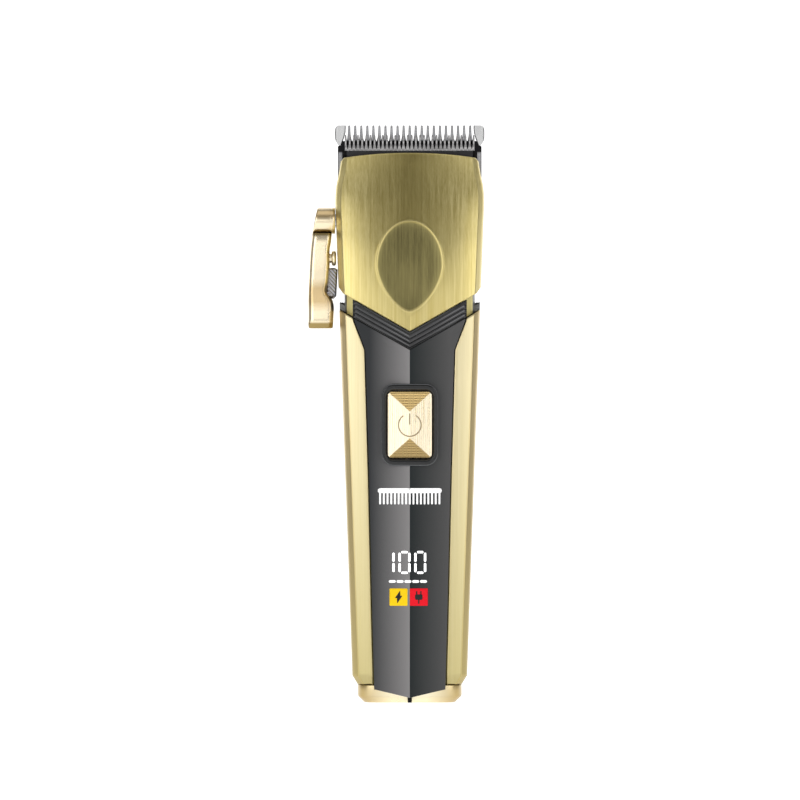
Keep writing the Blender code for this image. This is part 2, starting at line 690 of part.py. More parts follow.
def make_taper_lever():
    """Thumb lever: a round hub at the pivot and a curved arm that hangs beside the head."""
    y_range = (LEVER_Y - HUB_RADIUS, LEVER_Y + HUB_RADIUS)
    arm = slab("taper_lever", [
        (-24.2, 150.4), (-28.6, 150.4), (-30.0, 145.8), (-30.5, 140.0), (-30.9, 134.0), (-31.3, 127.0),
        (-31.6, 121.0), (-31.7, 117.0), (-31.2, 116.3), (-24.4, 116.3), (-23.9, 116.9), (-23.7, 123.1),
        (-24.2, 125.3), (-25.75, 127.3), (-25.2, 132.0), (-24.9, 136.0), (-24.5, 141.0)], *y_range)
    join(arm, rod("lever_hub", HUB_RADIUS, (-28.7, LEVER_Y, LEVER_Z), (-24.2, LEVER_Y, LEVER_Z), 28))
    cut(arm, rod("lever_counterbore", 2.5, (-32.0, LEVER_Y, LEVER_Z), (-27.2, LEVER_Y, LEVER_Z), 20))
    cut(arm, rod("lever_bore", 1.4, (-32.0, LEVER_Y, LEVER_Z), (-20.0, LEVER_Y, LEVER_Z), 16))
    cut(arm, rod("detent_bore", 1.75, (-28.2, LEVER_Y, 138.2), (-20.0, LEVER_Y, 138.2), 16))
    cut(arm, rod("detent_recess", 2.7, (-25.6, LEVER_Y, 138.2), (-20.0, LEVER_Y, 138.2), 20))
    cut(arm, box("grip_seat", (-26.3, LEVER_Y - 2.9, 127.4), (-20.0, LEVER_Y + 2.9, 133.4)))
    return dress(arm, "gold_satin")


def make_lever_grip():
    """Grey knurled runner set in the arm, facing the body."""
    grip = box("lever_grip", (-26.0, LEVER_Y - 2.6, 127.7), (-22.75, LEVER_Y + 2.6, 133.1))
    round_edges(grip, 0.4, 1)
    return dress(grip, "dark_steel")


def make_lever_hardware():
    """Pivot shaft with its crank and pin, the washer outside the cover and the screw in the hub."""
    shaft = rod("lever_shaft", 2.2, (-24.0, LEVER_Y, LEVER_Z), (-17.2, LEVER_Y, LEVER_Z), 20)
    join(shaft, rod("crank_disc", 4.2, (-17.9, LEVER_Y, LEVER_Z), (-16.5, LEVER_Y, LEVER_Z), 24))
    crank_y = LEVER_Y + CRANK_OFFSET
    join(shaft, rod("crank_pin", 0.9, (-17.2, crank_y, LEVER_Z), (-12.2, crank_y, LEVER_Z), 12))
    cut(shaft, rod("shaft_bore", 1.3, (-26.0, LEVER_Y, LEVER_Z), (-19.5, LEVER_Y, LEVER_Z), 12))
    washer = rod("lever_washer", 3.9, (-23.9, LEVER_Y, LEVER_Z), (-23.3, LEVER_Y, LEVER_Z), 24)
    cut(washer, rod("washer_bore", 2.5, (-26.0, LEVER_Y, LEVER_Z), (-20.0, LEVER_Y, LEVER_Z), 20))
    screw = rod("lever_screw", 2.15, (-28.4, LEVER_Y, LEVER_Z), (-27.5, LEVER_Y, LEVER_Z), 20)
    join(screw, rod("lever_screw_shank", 1.0, (-28.0, LEVER_Y, LEVER_Z), (-20.0, LEVER_Y, LEVER_Z), 12))
    cut(screw, box("lever_screw_slot", (-29.0, LEVER_Y - 0.3, 145.0), (-28.05, LEVER_Y + 0.3, 155.0)))
    dress(shaft, "steel")
    dress(washer, "nylon")
    dress(screw, "steel")
    return shaft, screw


def make_detent():
    """Sprung detent pin in the arm, and its coil spring."""
    pin = rod("detent_pin", 1.45, (-25.9, LEVER_Y, 138.2), (-24.0, LEVER_Y, 138.2), 16)
    join(pin, rod("detent_head", 2.35, (-24.3, LEVER_Y, 138.2), (-22.95, LEVER_Y, 138.2), 20, 1.6))
    turns = 3
    steps = 8 * turns
    coil = []
    for step in range(steps + 1):
        angle = 2 * math.pi * step / 8
        across = -27.8 + 1.65 * step / steps
        coil.append((across, LEVER_Y + 1.1 * math.cos(angle), 138.2 + 1.1 * math.sin(angle)))
    spring = tube("detent_spring", coil, 0.17, 1)
    dress(pin, "gold_satin")
    dress(spring, "steel")
    return pin, spring


# ---------------------------------------------------------------- motor

def make_motor():
    """Motor can with magnets and end bell, its rotor, shaft and bearing, and the plate that holds it."""
    def spot(height):
        return (0.0, MOTOR_Y, height)

    can = rod("motor_can", MOTOR_RADIUS, spot(MOTOR_BOTTOM), spot(MOTOR_TOP), 32)
    cut(can, rod("can_hollow", MOTOR_RADIUS - 1.0, spot(MOTOR_BOTTOM - 1), spot(MOTOR_TOP - 4.0), 32))
    cut(can, rod("can_bearing_seat", 3.3, spot(130.0), spot(150.0), 20))
    bell = rod("motor_end_bell", MOTOR_RADIUS, spot(109.3), spot(MOTOR_BOTTOM - SEAM), 32)
    cut(bell, rod("bell_bore", 1.4, spot(110.6), spot(120.0), 12))
    magnet = rod("motor_magnet", 9.2, spot(116.0), spot(137.0), 28)
    cut(magnet, rod("magnet_bore", 8.0, spot(110.0), spot(140.0), 28))
    shaft = rod("motor_shaft", 1.0, spot(110.9), spot(150.1), 12)
    rotor = rod("rotor_core", 7.6, spot(117.0), spot(136.0), 28)
    cut(rotor, rod("rotor_bore", 1.3, spot(110.0), spot(140.0), 12))
    bearing = rod("motor_bearing", 3.0, spot(140.5), spot(144.7), 20)
    cut(bearing, rod("bearing_bore", 1.3, spot(130.0), spot(150.0), 12))
    plate = rounded_rectangle(31.0, 21.0, 5.0, (0.0, MOTOR_Y))
    mount = slab("motor_mount", plate, MOUNT_BOTTOM, MOUNT_TOP, "Z")
    cut(mount, rod("mount_bore", 3.3, spot(140.0), spot(150.0), 20))
    screws = []
    for name, x in (("motor_screw_left", -7.3), ("motor_screw_right", 7.3)):
        cut(can, rod(f"can_{name}_bore", 1.25, (x, MOTOR_Y, 139.9), (x, MOTOR_Y, 150.0), 12))
        cut(mount, rod(f"mount_{name}_bore", 1.25, (x, MOTOR_Y, 140.0), (x, MOTOR_Y, 150.0), 12))
        screw = rod(name, 1.75, (x, MOTOR_Y, MOUNT_TOP + SEAM), (x, MOTOR_Y, 146.3), 16)
        join(screw, rod(f"{name}_shank", 0.95, (x, MOTOR_Y, 140.5), (x, MOTOR_Y, 145.8), 12))
        screws.append(dress(screw, "steel"))
    cam = rod("eccentric_cam", 4.0, spot(146.6), spot(151.2), 24)
    pin_y = MOTOR_Y + PIN_OFFSET
    join(cam, rod("cam_pin", PIN_RADIUS, (0.0, pin_y, 150.0), (0.0, pin_y, 158.0), 12))
    cut(cam, rod("cam_bore", 1.3, spot(145.0), spot(150.4), 12))
    for piece, finish in ((can, "steel"), (bell, "nylon"), (magnet, "dark_steel"), (shaft, "steel"),
                          (rotor, "copper"), (bearing, "copper"), (mount, "black_matte"), (cam, "nylon")):
        dress(piece, finish)
    return shaft, rotor, cam


# ---------------------------------------------------------------- controls

def make_button():
    """Power button: a rounded block whose face rises in four facets to a short ridge, with a stem behind."""
    button = slab("power_button", rounded_rectangle(*BUTTON_SIZE, BUTTON_CORNER, (0.0, BUTTON_Z)),
                  -BUTTON_APEX, -BUTTON_BACK)
    rise = BUTTON_APEX - BUTTON_RIM
    reach_x = BUTTON_SIZE[0] / 2
    reach_z = BUTTON_SIZE[1] / 2
    ridge_z = 4.15
    far = 3.0
    for side_sign in (-1, 1):
        slope = rise / reach_x
        cut(button, slab(f"button_side_{side_sign}", [
            (0.0, -BUTTON_APEX), (side_sign * far * reach_x, -BUTTON_APEX + slope * far * reach_x),
            (side_sign * far * reach_x, -BUTTON_APEX - 5.0), (0.0, -BUTTON_APEX - 5.0)], 70.0, 105.0, "Z"))
        slope = rise / (reach_z - ridge_z)
        cut(button, slab(f"button_end_{side_sign}", [
            (-BUTTON_APEX, BUTTON_Z + side_sign * ridge_z),
            (-BUTTON_APEX + slope * 20.0, BUTTON_Z + side_sign * (ridge_z + 20.0)),
            (-BUTTON_APEX - 5.0, BUTTON_Z + side_sign * (ridge_z + 20.0)),
            (-BUTTON_APEX - 5.0, BUTTON_Z + side_sign * ridge_z)], -12.0, 12.0, "X"))
    join(button, rod("button_stem", 1.5, (0.0, -BUTTON_BACK - 1.0, BUTTON_Z), (0.0, -12.5, BUTTON_Z), 16))
    return dress(button, "gold_satin", 8.0)


def make_bezel():
    """Black frame round the button, through the panel."""
    bezel = slab("button_bezel", rounded_rectangle(*BEZEL_SIZE, BEZEL_CORNER, (0.0, BUTTON_Z)),
                 -BEZEL_FRONT, -13.5)
    round_edges(bezel, 0.5, 1)
    cut(bezel, slab("bezel_hole", rounded_rectangle(*BEZEL_HOLE, BUTTON_CORNER + 0.3, (0.0, BUTTON_Z)),
                    -30.0, -5.0))
    return dress(bezel, "black_gloss")


def make_switch():
    """Rubber seal behind the button, and the tact switch it presses."""
    seal = slab("button_seal", rounded_rectangle(18.6, 26.5, 3.0, (0.0, BUTTON_Z)), -12.8, -12.35)
    cut(seal, rod("seal_bore", 2.1, (0.0, -20.0, BUTTON_Z), (0.0, -5.0, BUTTON_Z), 16))
    body = box("switch_body", (-3.0, -11.9, BUTTON_Z - 3.0), (3.0, BOARD_FRONT - SEAM, BUTTON_Z + 3.0))
    cut(body, rod("switch_bore", 1.8, (0.0, -13.0, BUTTON_Z), (0.0, -10.2, BUTTON_Z), 16))
    plunger = rod("switch_plunger", 1.5, (0.0, -12.2, BUTTON_Z), (0.0, -11.0, BUTTON_Z), 16)
    dress(seal, "rubber")
    dress(body, "black_matte")
    dress(plunger, "nylon")


def make_electronics():
    """Circuit board, display block and the two lamps behind the panel."""
    board = box("circuit_board", (-9.4, BOARD_FRONT, 22.0), (9.4, BOARD_BACK, 104.0))
    display = box("display_module", (-6.6, -14.0, 38.6), (6.6, BOARD_FRONT - SEAM, 48.4))
    round_edges(display, 0.4, 1)
    dress(board, "board")
    dress(display, "black_matte")
    for name, x, finish in (("indicator_left", -3.5, "lens_yellow"), ("indicator_right", 2.8, "lens_red")):
        lamp = box(name, (x - 2.6, -14.0, 30.4), (x + 2.6, BOARD_FRONT - SEAM, 35.4))
        round_edges(lamp, 0.3, 1)
        dress(lamp, finish)
    light = box("charge_light", (-0.65, -15.9, 0.1), (0.65, -13.9, 1.35))
    dress(light, "black_gloss")


def make_battery():
    """One cylindrical cell in a cradle, with welded tabs."""
    cell = rod("battery_cell", CELL_RADIUS, (0.0, CELL_Y, CELL_BOTTOM), (0.0, CELL_Y, CELL_TOP), 32)
    round_edges(cell, 0.7, 1)
    cradle = rod("battery_cradle", 10.6, (0.0, CELL_Y, 21.0), (0.0, CELL_Y, 84.0), 32)
    cut(cradle, rod("cradle_bore", 9.6, (0.0, CELL_Y, 10.0), (0.0, CELL_Y, 95.0), 32))
    cut(cradle, box("cradle_mouth", (-20.0, -20.0, 10.0), (20.0, 4.0, 95.0)))
    for name, low in (("battery_tab_bottom", CELL_BOTTOM - 0.7), ("battery_tab_top", CELL_TOP + SEAM)):
        dress(box(name, (-2.5, -4.5, low), (2.5, 5.0, low + 0.4)), "steel")
    dress(cell, "cell_wrap")
    dress(cradle, "black_matte")


def make_charging_socket():
    """Charging inlet: a rounded metal shell, open downwards."""
    socket = slab("charging_socket", rounded_rectangle(9.0, 3.2, 1.3, (0.0, 6.0)), 0.5, 7.6, "Z")
    cut(socket, slab("socket_hole", rounded_rectangle(8.3, 2.5, 1.0, (0.0, 6.0)), -1.0, 6.6, "Z"))
    return dress(socket, "steel")


def make_leads():
    """Two leads from the motor and two from the battery to the board."""
    for sign, tint in ((-1, "red"), (1, "black")):
        motor = tube(f"motor_lead_{tint}", [
            (sign * 6.0, -2.0, 108.9), (sign * 6.3, -2.4, 107.2), (sign * 6.6, -4.6, 104.0),
            (sign * 6.6, -6.9, 101.0), (sign * 6.6, -7.3, 98.0)], 0.45)
        dress(motor, f"lead_{tint}")
    upper = tube("battery_lead_red", [
        (2.0, -1.0, 86.4), (3.4, -2.2, 88.0), (5.0, -5.0, 90.6), (5.0, -7.2, 93.4), (5.0, -7.3, 95.4)], 0.45)
    lower = tube("battery_lead_black", [
        (2.0, -1.0, 18.6), (3.2, -2.6, 16.8), (4.6, -5.6, 17.4), (5.0, -7.2, 21.0), (5.0, -7.35, 25.0)], 0.35)
    dress(upper, "lead_red")
    dress(lower, "lead_black")


def make_housing_screws():
    """Four screws that hold the handle's shells together, in from behind."""
    for number, (x, z, seat) in enumerate(HOUSING_SCREWS, start=1):
        name = f"housing_screw_{number}"
        screw = rod(name, 1.9, (x, seat + 1.7, z), (x, seat + SEAM, z), 16)
        join(screw, rod(f"{name}_shank", 0.85, (x, seat + 1.0, z), (x, -5.5, z), 12))
        cut(screw, box(f"{name}_slot", (x - 2.5, seat + 1.3, z - 0.3), (x + 2.5, seat + 3.0, z + 0.3)))
        dress(screw, "dark_steel")


def main():
    """Build every piece, and hang the turning ones on their axes."""
    clear_scene()
    make_end_cap()
    make_front_housing()
    make_rear_housing()
    make_front_panel()
    make_chevron_trim()
    make_neck_ring()
    make_neck_collar()
    make_head_cover()
    make_head_back()
    make_fixed_blade()
    make_blade_bracket()
    make_blade_screw("blade_screw_left", -1)
    make_blade_screw("blade_screw_right", 1)
    make_cutter_blade()
    make_cutter_follower()
    make_cutter_carriage()
    make_tension_spring()
    shaft, screw = make_lever_hardware()
    pin, spring = make_detent()
    lever_pieces = (make_taper_lever(), make_lever_grip(), shaft, screw, pin, spring)
    hang_on("lever_axis", (0.0, LEVER_Y, LEVER_Z), *lever_pieces)
    rotor_pieces = make_motor()
    hang_on("rotor_axis", (0.0, MOTOR_Y, 0.0), *rotor_pieces)
    make_button()
    make_bezel()
    make_switch()
    make_electronics()
    make_battery()
    make_charging_socket()
    make_leads()
    make_housing_screws()


main()
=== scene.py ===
"""Looks of the cordless hair clipper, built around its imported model.

Every shape is worked out in millimetres as whole numpy arrays and becomes metres when its mesh is made.
The clipper stands on z = 0, its panel and button face -Y, and its blade points up.
"""
from __future__ import annotations

import json
import logging
import math
from dataclasses import dataclass, field
from enum import Enum

import bmesh
import bpy
import numpy as np
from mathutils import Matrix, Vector

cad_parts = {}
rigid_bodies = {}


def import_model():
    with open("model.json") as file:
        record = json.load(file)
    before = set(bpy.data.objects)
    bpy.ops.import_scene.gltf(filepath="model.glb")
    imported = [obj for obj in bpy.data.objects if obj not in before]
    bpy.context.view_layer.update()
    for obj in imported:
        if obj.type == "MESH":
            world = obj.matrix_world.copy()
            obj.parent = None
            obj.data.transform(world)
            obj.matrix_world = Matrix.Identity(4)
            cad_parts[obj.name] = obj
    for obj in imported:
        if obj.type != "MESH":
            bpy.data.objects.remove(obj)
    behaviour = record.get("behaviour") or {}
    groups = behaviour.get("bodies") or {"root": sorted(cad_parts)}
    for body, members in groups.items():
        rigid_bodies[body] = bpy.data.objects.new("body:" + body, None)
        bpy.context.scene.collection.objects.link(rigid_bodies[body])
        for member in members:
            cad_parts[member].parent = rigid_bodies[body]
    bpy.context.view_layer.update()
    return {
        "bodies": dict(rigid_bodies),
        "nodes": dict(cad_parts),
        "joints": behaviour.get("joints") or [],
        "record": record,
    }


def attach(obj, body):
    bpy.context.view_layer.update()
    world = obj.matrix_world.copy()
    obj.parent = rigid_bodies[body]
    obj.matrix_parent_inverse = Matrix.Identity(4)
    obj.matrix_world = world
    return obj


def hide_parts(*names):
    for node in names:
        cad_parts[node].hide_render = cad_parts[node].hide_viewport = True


MM = 0.001
LOG = logging.getLogger("clipper")


class Body(Enum):
    """The rigid bodies that pieces ride on."""

    HANDLE = "handle"
    LEVER = "lever"
    DETENT = "detent"
    CUTTER = "cutter"
    BUTTON = "button"


class Slot(Enum):
    """The record's material slots, passed along with new pieces."""

    GOLD_BRUSHED = "gold_brushed"
    GOLD_SATIN = "gold_satin"
    PANEL = "panel_gloss"
    BLACK = "black_plastic"
    BLADE = "blade_steel"
    CUTTER = "cutter_steel"
    LAMP_YELLOW = "lamp_yellow"
    LAMP_RED = "lamp_red"


# ---------------------------------------------------------------- numbers

def smoothstep(low: float, high: float, value: np.ndarray) -> np.ndarray:
    """Rise from 0 at low to 1 at high along 3t^2 - 2t^3.

    Args:
        low: where the rise starts.
        high: where it ends.
        value: the numbers to map.

    Returns:
        The mapped numbers.
    """
    t = np.clip((np.asarray(value, dtype=float) - low) / (high - low), 0.0, 1.0)
    return t * t * (3.0 - 2.0 * t)


def curve_through(stations: tuple, value: np.ndarray) -> np.ndarray:
    """Read a smooth curve through stations: cubic Hermite spans, each slope the mean of its two chords.

    Args:
        stations: (position, size) pairs in rising position.
        value: the positions to read.

    Returns:
        The sizes there.
    """
    knots = np.array(stations, dtype=float)
    x, y = knots[:, 0], knots[:, 1]
    chords = np.diff(y) / np.diff(x)
    slopes = np.concatenate([chords[:1], (chords[1:] + chords[:-1]) / 2, chords[-1:]])
    value = np.clip(np.asarray(value, dtype=float), x[0], x[-1])
    span = np.clip(np.searchsorted(x, value, side="right") - 1, 0, len(x) - 2)
    width = x[span + 1] - x[span]
    t = (value - x[span]) / width
    return ((2 * t ** 3 - 3 * t ** 2 + 1) * y[span] + (t ** 3 - 2 * t ** 2 + t) * width * slopes[span]
            + (3 * t ** 2 - 2 * t ** 3) * y[span + 1] + (t ** 3 - t ** 2) * width * slopes[span + 1])


def line_through(stations: tuple, value: np.ndarray) -> np.ndarray:
    """Read straight spans between stations.

    Args:
        stations: (position, size) pairs in rising position.
        value: the positions to read.

    Returns:
        The sizes there.
    """
    knots = np.array(stations, dtype=float)
    return np.interp(value, knots[:, 0], knots[:, 1])


def squircle(angle: np.ndarray, power: float) -> tuple[np.ndarray, np.ndarray]:
    """A unit superellipse by its polar angle: (sin a, cos a) over (|sin a|^n + |cos a|^n)^(1/n).

    Args:
        angle: angle from the forward axis, in radians.
        power: n, which squares the corners as it grows.

    Returns:
        The sideways and forward parts.
    """
    sine, cosine = np.sin(angle), np.cos(angle)
    reach = (np.abs(sine) ** power + np.abs(cosine) ** power) ** (1.0 / power)
    return sine / reach, cosine / reach


def rounded_outline(width: float, height: float, radius: float, steps: int = 9) -> np.ndarray:
    """A rectangle with round corners about the origin, corner arcs joined by straight sides.

    Args:
        width: size along X.
        height: size along Z.
        radius: corner radius.
        steps: points on each corner.

    Returns:
        Points of shape (4 * steps, 2).
    """
    corner = np.repeat(np.arange(4), steps)
    angle = (corner + np.tile(np.linspace(0.0, 1.0, steps), 4)) * math.pi / 2
    side_x = np.array([1, -1, -1, 1])[corner]
    side_z = np.array([1, 1, -1, -1])[corner]
    return np.stack([side_x * (width / 2 - radius) + radius * np.cos(angle),
                     side_z * (height / 2 - radius) + radius * np.sin(angle)], axis=1)


def rounded_path(corners: list, cuts: tuple, spans: tuple, steps: int = 5) -> tuple[np.ndarray, np.ndarray]:
    """Round the inner corners of many broken lines at once.

    Each corner becomes a quadratic curve between the points a cut's length before and after it, and the
    straight runs between the curves are divided evenly.

    Args:
        corners: (x, y) pairs of arrays of shape (rows, 1).
        cuts: a cut for each inner corner, as a number or an array of shape (rows, 1).
        spans: how many points divide each straight run.
        steps: points on each curve.

    Returns:
        x and y of shape (rows, points).
    """
    places = [np.stack(np.broadcast_arrays(*corner), axis=-1) for corner in corners]
    bend = np.linspace(0.0, 1.0, steps)[None, :, None]
    pieces = []
    last = places[0]
    for place, before, after, cut, span in zip(places[1:-1], places[:-2], places[2:], cuts, spans):
        back, ahead = before - place, after - place
        reach = np.asarray(cut)[..., None]
        start = place + back / np.linalg.norm(back, axis=-1, keepdims=True) * reach
        end = place + ahead / np.linalg.norm(ahead, axis=-1, keepdims=True) * reach
        run = np.linspace(0.0, 1.0, span, endpoint=False)[None, :, None]
        pieces.append(last + (start - last) * run)
        pieces.append((1 - bend) ** 2 * start + 2 * bend * (1 - bend) * place + bend ** 2 * end)
        last = end
    run = np.linspace(0.0, 1.0, spans[-1] + 1)[None, 1:, None]
    pieces.append(last + (places[-1] - last) * run)
    line = np.concatenate(pieces, axis=1)
    return line[..., 0], line[..., 1]


# ---------------------------------------------------------------- meshes

class MeshBuilder:
    """Collects grids of points into one mesh."""

    def __init__(self) -> None:
        """Start empty."""
        self.points: list[np.ndarray] = []
        self.faces: list[list[int]] = []
        self.count = 0
        self.values: list[np.ndarray] = []

    def grid(self, points: np.ndarray, wrap: bool = False, cap: bool = False, keep: np.ndarray | None = None,
             value: np.ndarray | float = 0.0) -> MeshBuilder:
        """Add a sheet of quads over a grid of points.

        Args:
            points: array of shape (rows, columns, 3), in millimetres.
            wrap: join the last column to the first.
            cap: close the first and last row with one face each.
            keep: mask of shape (rows - 1, columns - 1 or columns) of the quads to keep.
            value: number per point that materials can read.

        Returns:
            The builder.
        """
        rows, columns = points.shape[:2]
        index = np.arange(rows * columns).reshape(rows, columns) + self.count
        right = np.roll(index, -1, axis=1) if wrap else index[:, 1:]
        left = index if wrap else index[:, :-1]
        quads = np.stack([left[:-1], right[:-1], right[1:], left[1:]], axis=-1)
        quads = quads[keep] if keep is not None else quads.reshape(-1, 4)
        self.faces += quads.tolist()
        if cap:
            self.faces += [index[0, ::-1].tolist(), index[-1].tolist()]
        self.points.append(points.reshape(-1, 3))
        self.values.append(np.broadcast_to(value, (rows, columns)).reshape(-1).astype(float))
        self.count += rows * columns
        return self

    def stack(self, rings: np.ndarray) -> MeshBuilder:
        """Add many closed bodies at once: rings of shape (bodies, rows, columns, 3), capped at both ends."""
        for body in rings:
            self.grid(body, wrap=True, cap=True)
        return self

    def build(self, name: str, centre: tuple | None = None, smooth: float = 30.0) -> bpy.types.Object:
        """Make the object, in metres, with its faces pointing out.

        Args:
            name: the piece's name.
            centre: for an open sheet, the point in millimetres that its faces turn their backs on.
            smooth: edges sharper than this many degrees stay sharp.

        Returns:
            The new object, linked to the scene.
        """
        mesh = bpy.data.meshes.new(name)
        mesh.from_pydata((np.concatenate(self.points) * MM).tolist(), [], self.faces)
        values = np.concatenate(self.values)
        if np.any(values):
            layer = mesh.attributes.new("facet", "FLOAT", "POINT")
            layer.data.foreach_set("value", values)
        shape = bmesh.new()
        shape.from_mesh(mesh)
        bmesh.ops.remove_doubles(shape, verts=shape.verts, dist=1e-7)
        if centre is None:
            bmesh.ops.recalc_face_normals(shape, faces=shape.faces)
        else:
            back = Vector(centre) * MM
            lean = sum((face.calc_center_median() - back).dot(face.normal) * face.calc_area()
                       for face in shape.faces)
            if lean < 0:
                bmesh.ops.reverse_faces(shape, faces=shape.faces)
        shape.to_mesh(mesh)
        shape.free()
        mesh.shade_smooth()
        mesh.set_sharp_from_angle(angle=math.radians(smooth))
        piece = bpy.data.objects.new(name, mesh)
        bpy.context.scene.collection.objects.link(piece)
        return piece


def thicken(piece: bpy.types.Object, wall: float) -> bpy.types.Object:
    """Give an open sheet a wall on its inner side, in millimetres."""
    modifier = piece.modifiers.new("Wall", "SOLIDIFY")
    modifier.thickness = wall * MM
    modifier.offset = -1.0
    return piece


def settle(piece: bpy.types.Object, smooth: float = 30.0) -> bpy.types.Object:
    """Replace a piece's mesh with its evaluated mesh and drop its modifiers.

    Args:
        piece: the object.
        smooth: edges sharper than this many degrees stay sharp.

    Returns:
        The same object.
    """
    bpy.context.view_layer.update()
    evaluated = piece.evaluated_get(bpy.context.evaluated_depsgraph_get())
    mesh = bpy.data.meshes.new_from_object(evaluated)
    piece.modifiers.clear()
    piece.data = mesh
    mesh.shade_smooth()
    mesh.set_sharp_from_angle(angle=math.radians(smooth))
    return piece


def carve(piece: bpy.types.Object, cutters: list[bpy.types.Object]) -> bpy.types.Object:
    """Take the cutters' shapes out of a piece, and remove the cutters."""
    for cutter in cutters:
        modifier = piece.modifiers.new("Carve", "BOOLEAN")
        modifier.operation = "DIFFERENCE"
        modifier.solver = "EXACT"
        modifier.object = cutter
    settle(piece)
    for cutter in cutters:
        bpy.data.objects.remove(cutter, do_unlink=True)
    return piece


def round_bar(centre: tuple, axis: int, start: float, end: float, radius: float, rim: float = 0.0,
              sides: int = 40) -> np.ndarray:
    """Rings of a round bar along one axis; at each end the radius falls by rim * (1 - sin a).

    Args:
        centre: a point on the bar's axis.
        axis: 0, 1 or 2 for X, Y or Z.
        start: where it starts along the axis.
        end: where it ends.
        radius: its radius.
        rim: radius of its rounded edges.
        sides: points round it.

    Returns:
        Rings of shape (rows, sides, 3).
    """
    turn = np.linspace(0.0, 2 * math.pi, sides, endpoint=False)
    quarter = np.linspace(0.0, math.pi / 2, 5)
    sign = 1.0 if end > start else -1.0
    along = np.concatenate([start + sign * rim * (1 - np.sin(math.pi / 2 - quarter)),
                            (end - sign * rim * (1 - np.cos(math.pi / 2 - quarter)))])
    size = np.concatenate([radius - rim * (1 - np.sin(quarter)), radius - rim * (1 - np.cos(quarter))])
    if rim <= 0:
        along, size = np.array([start, end]), np.array([radius, radius])
    rings = np.zeros((len(along), sides, 3))
    others = [item for item in range(3) if item != axis]
    rings[:, :, axis] = along[:, None]
    rings[:, :, others[0]] = centre[others[0]] + size[:, None] * np.cos(turn)
    rings[:, :, others[1]] = centre[others[1]] + size[:, None] * np.sin(turn)
    return rings


# ---------------------------------------------------------------- finishes

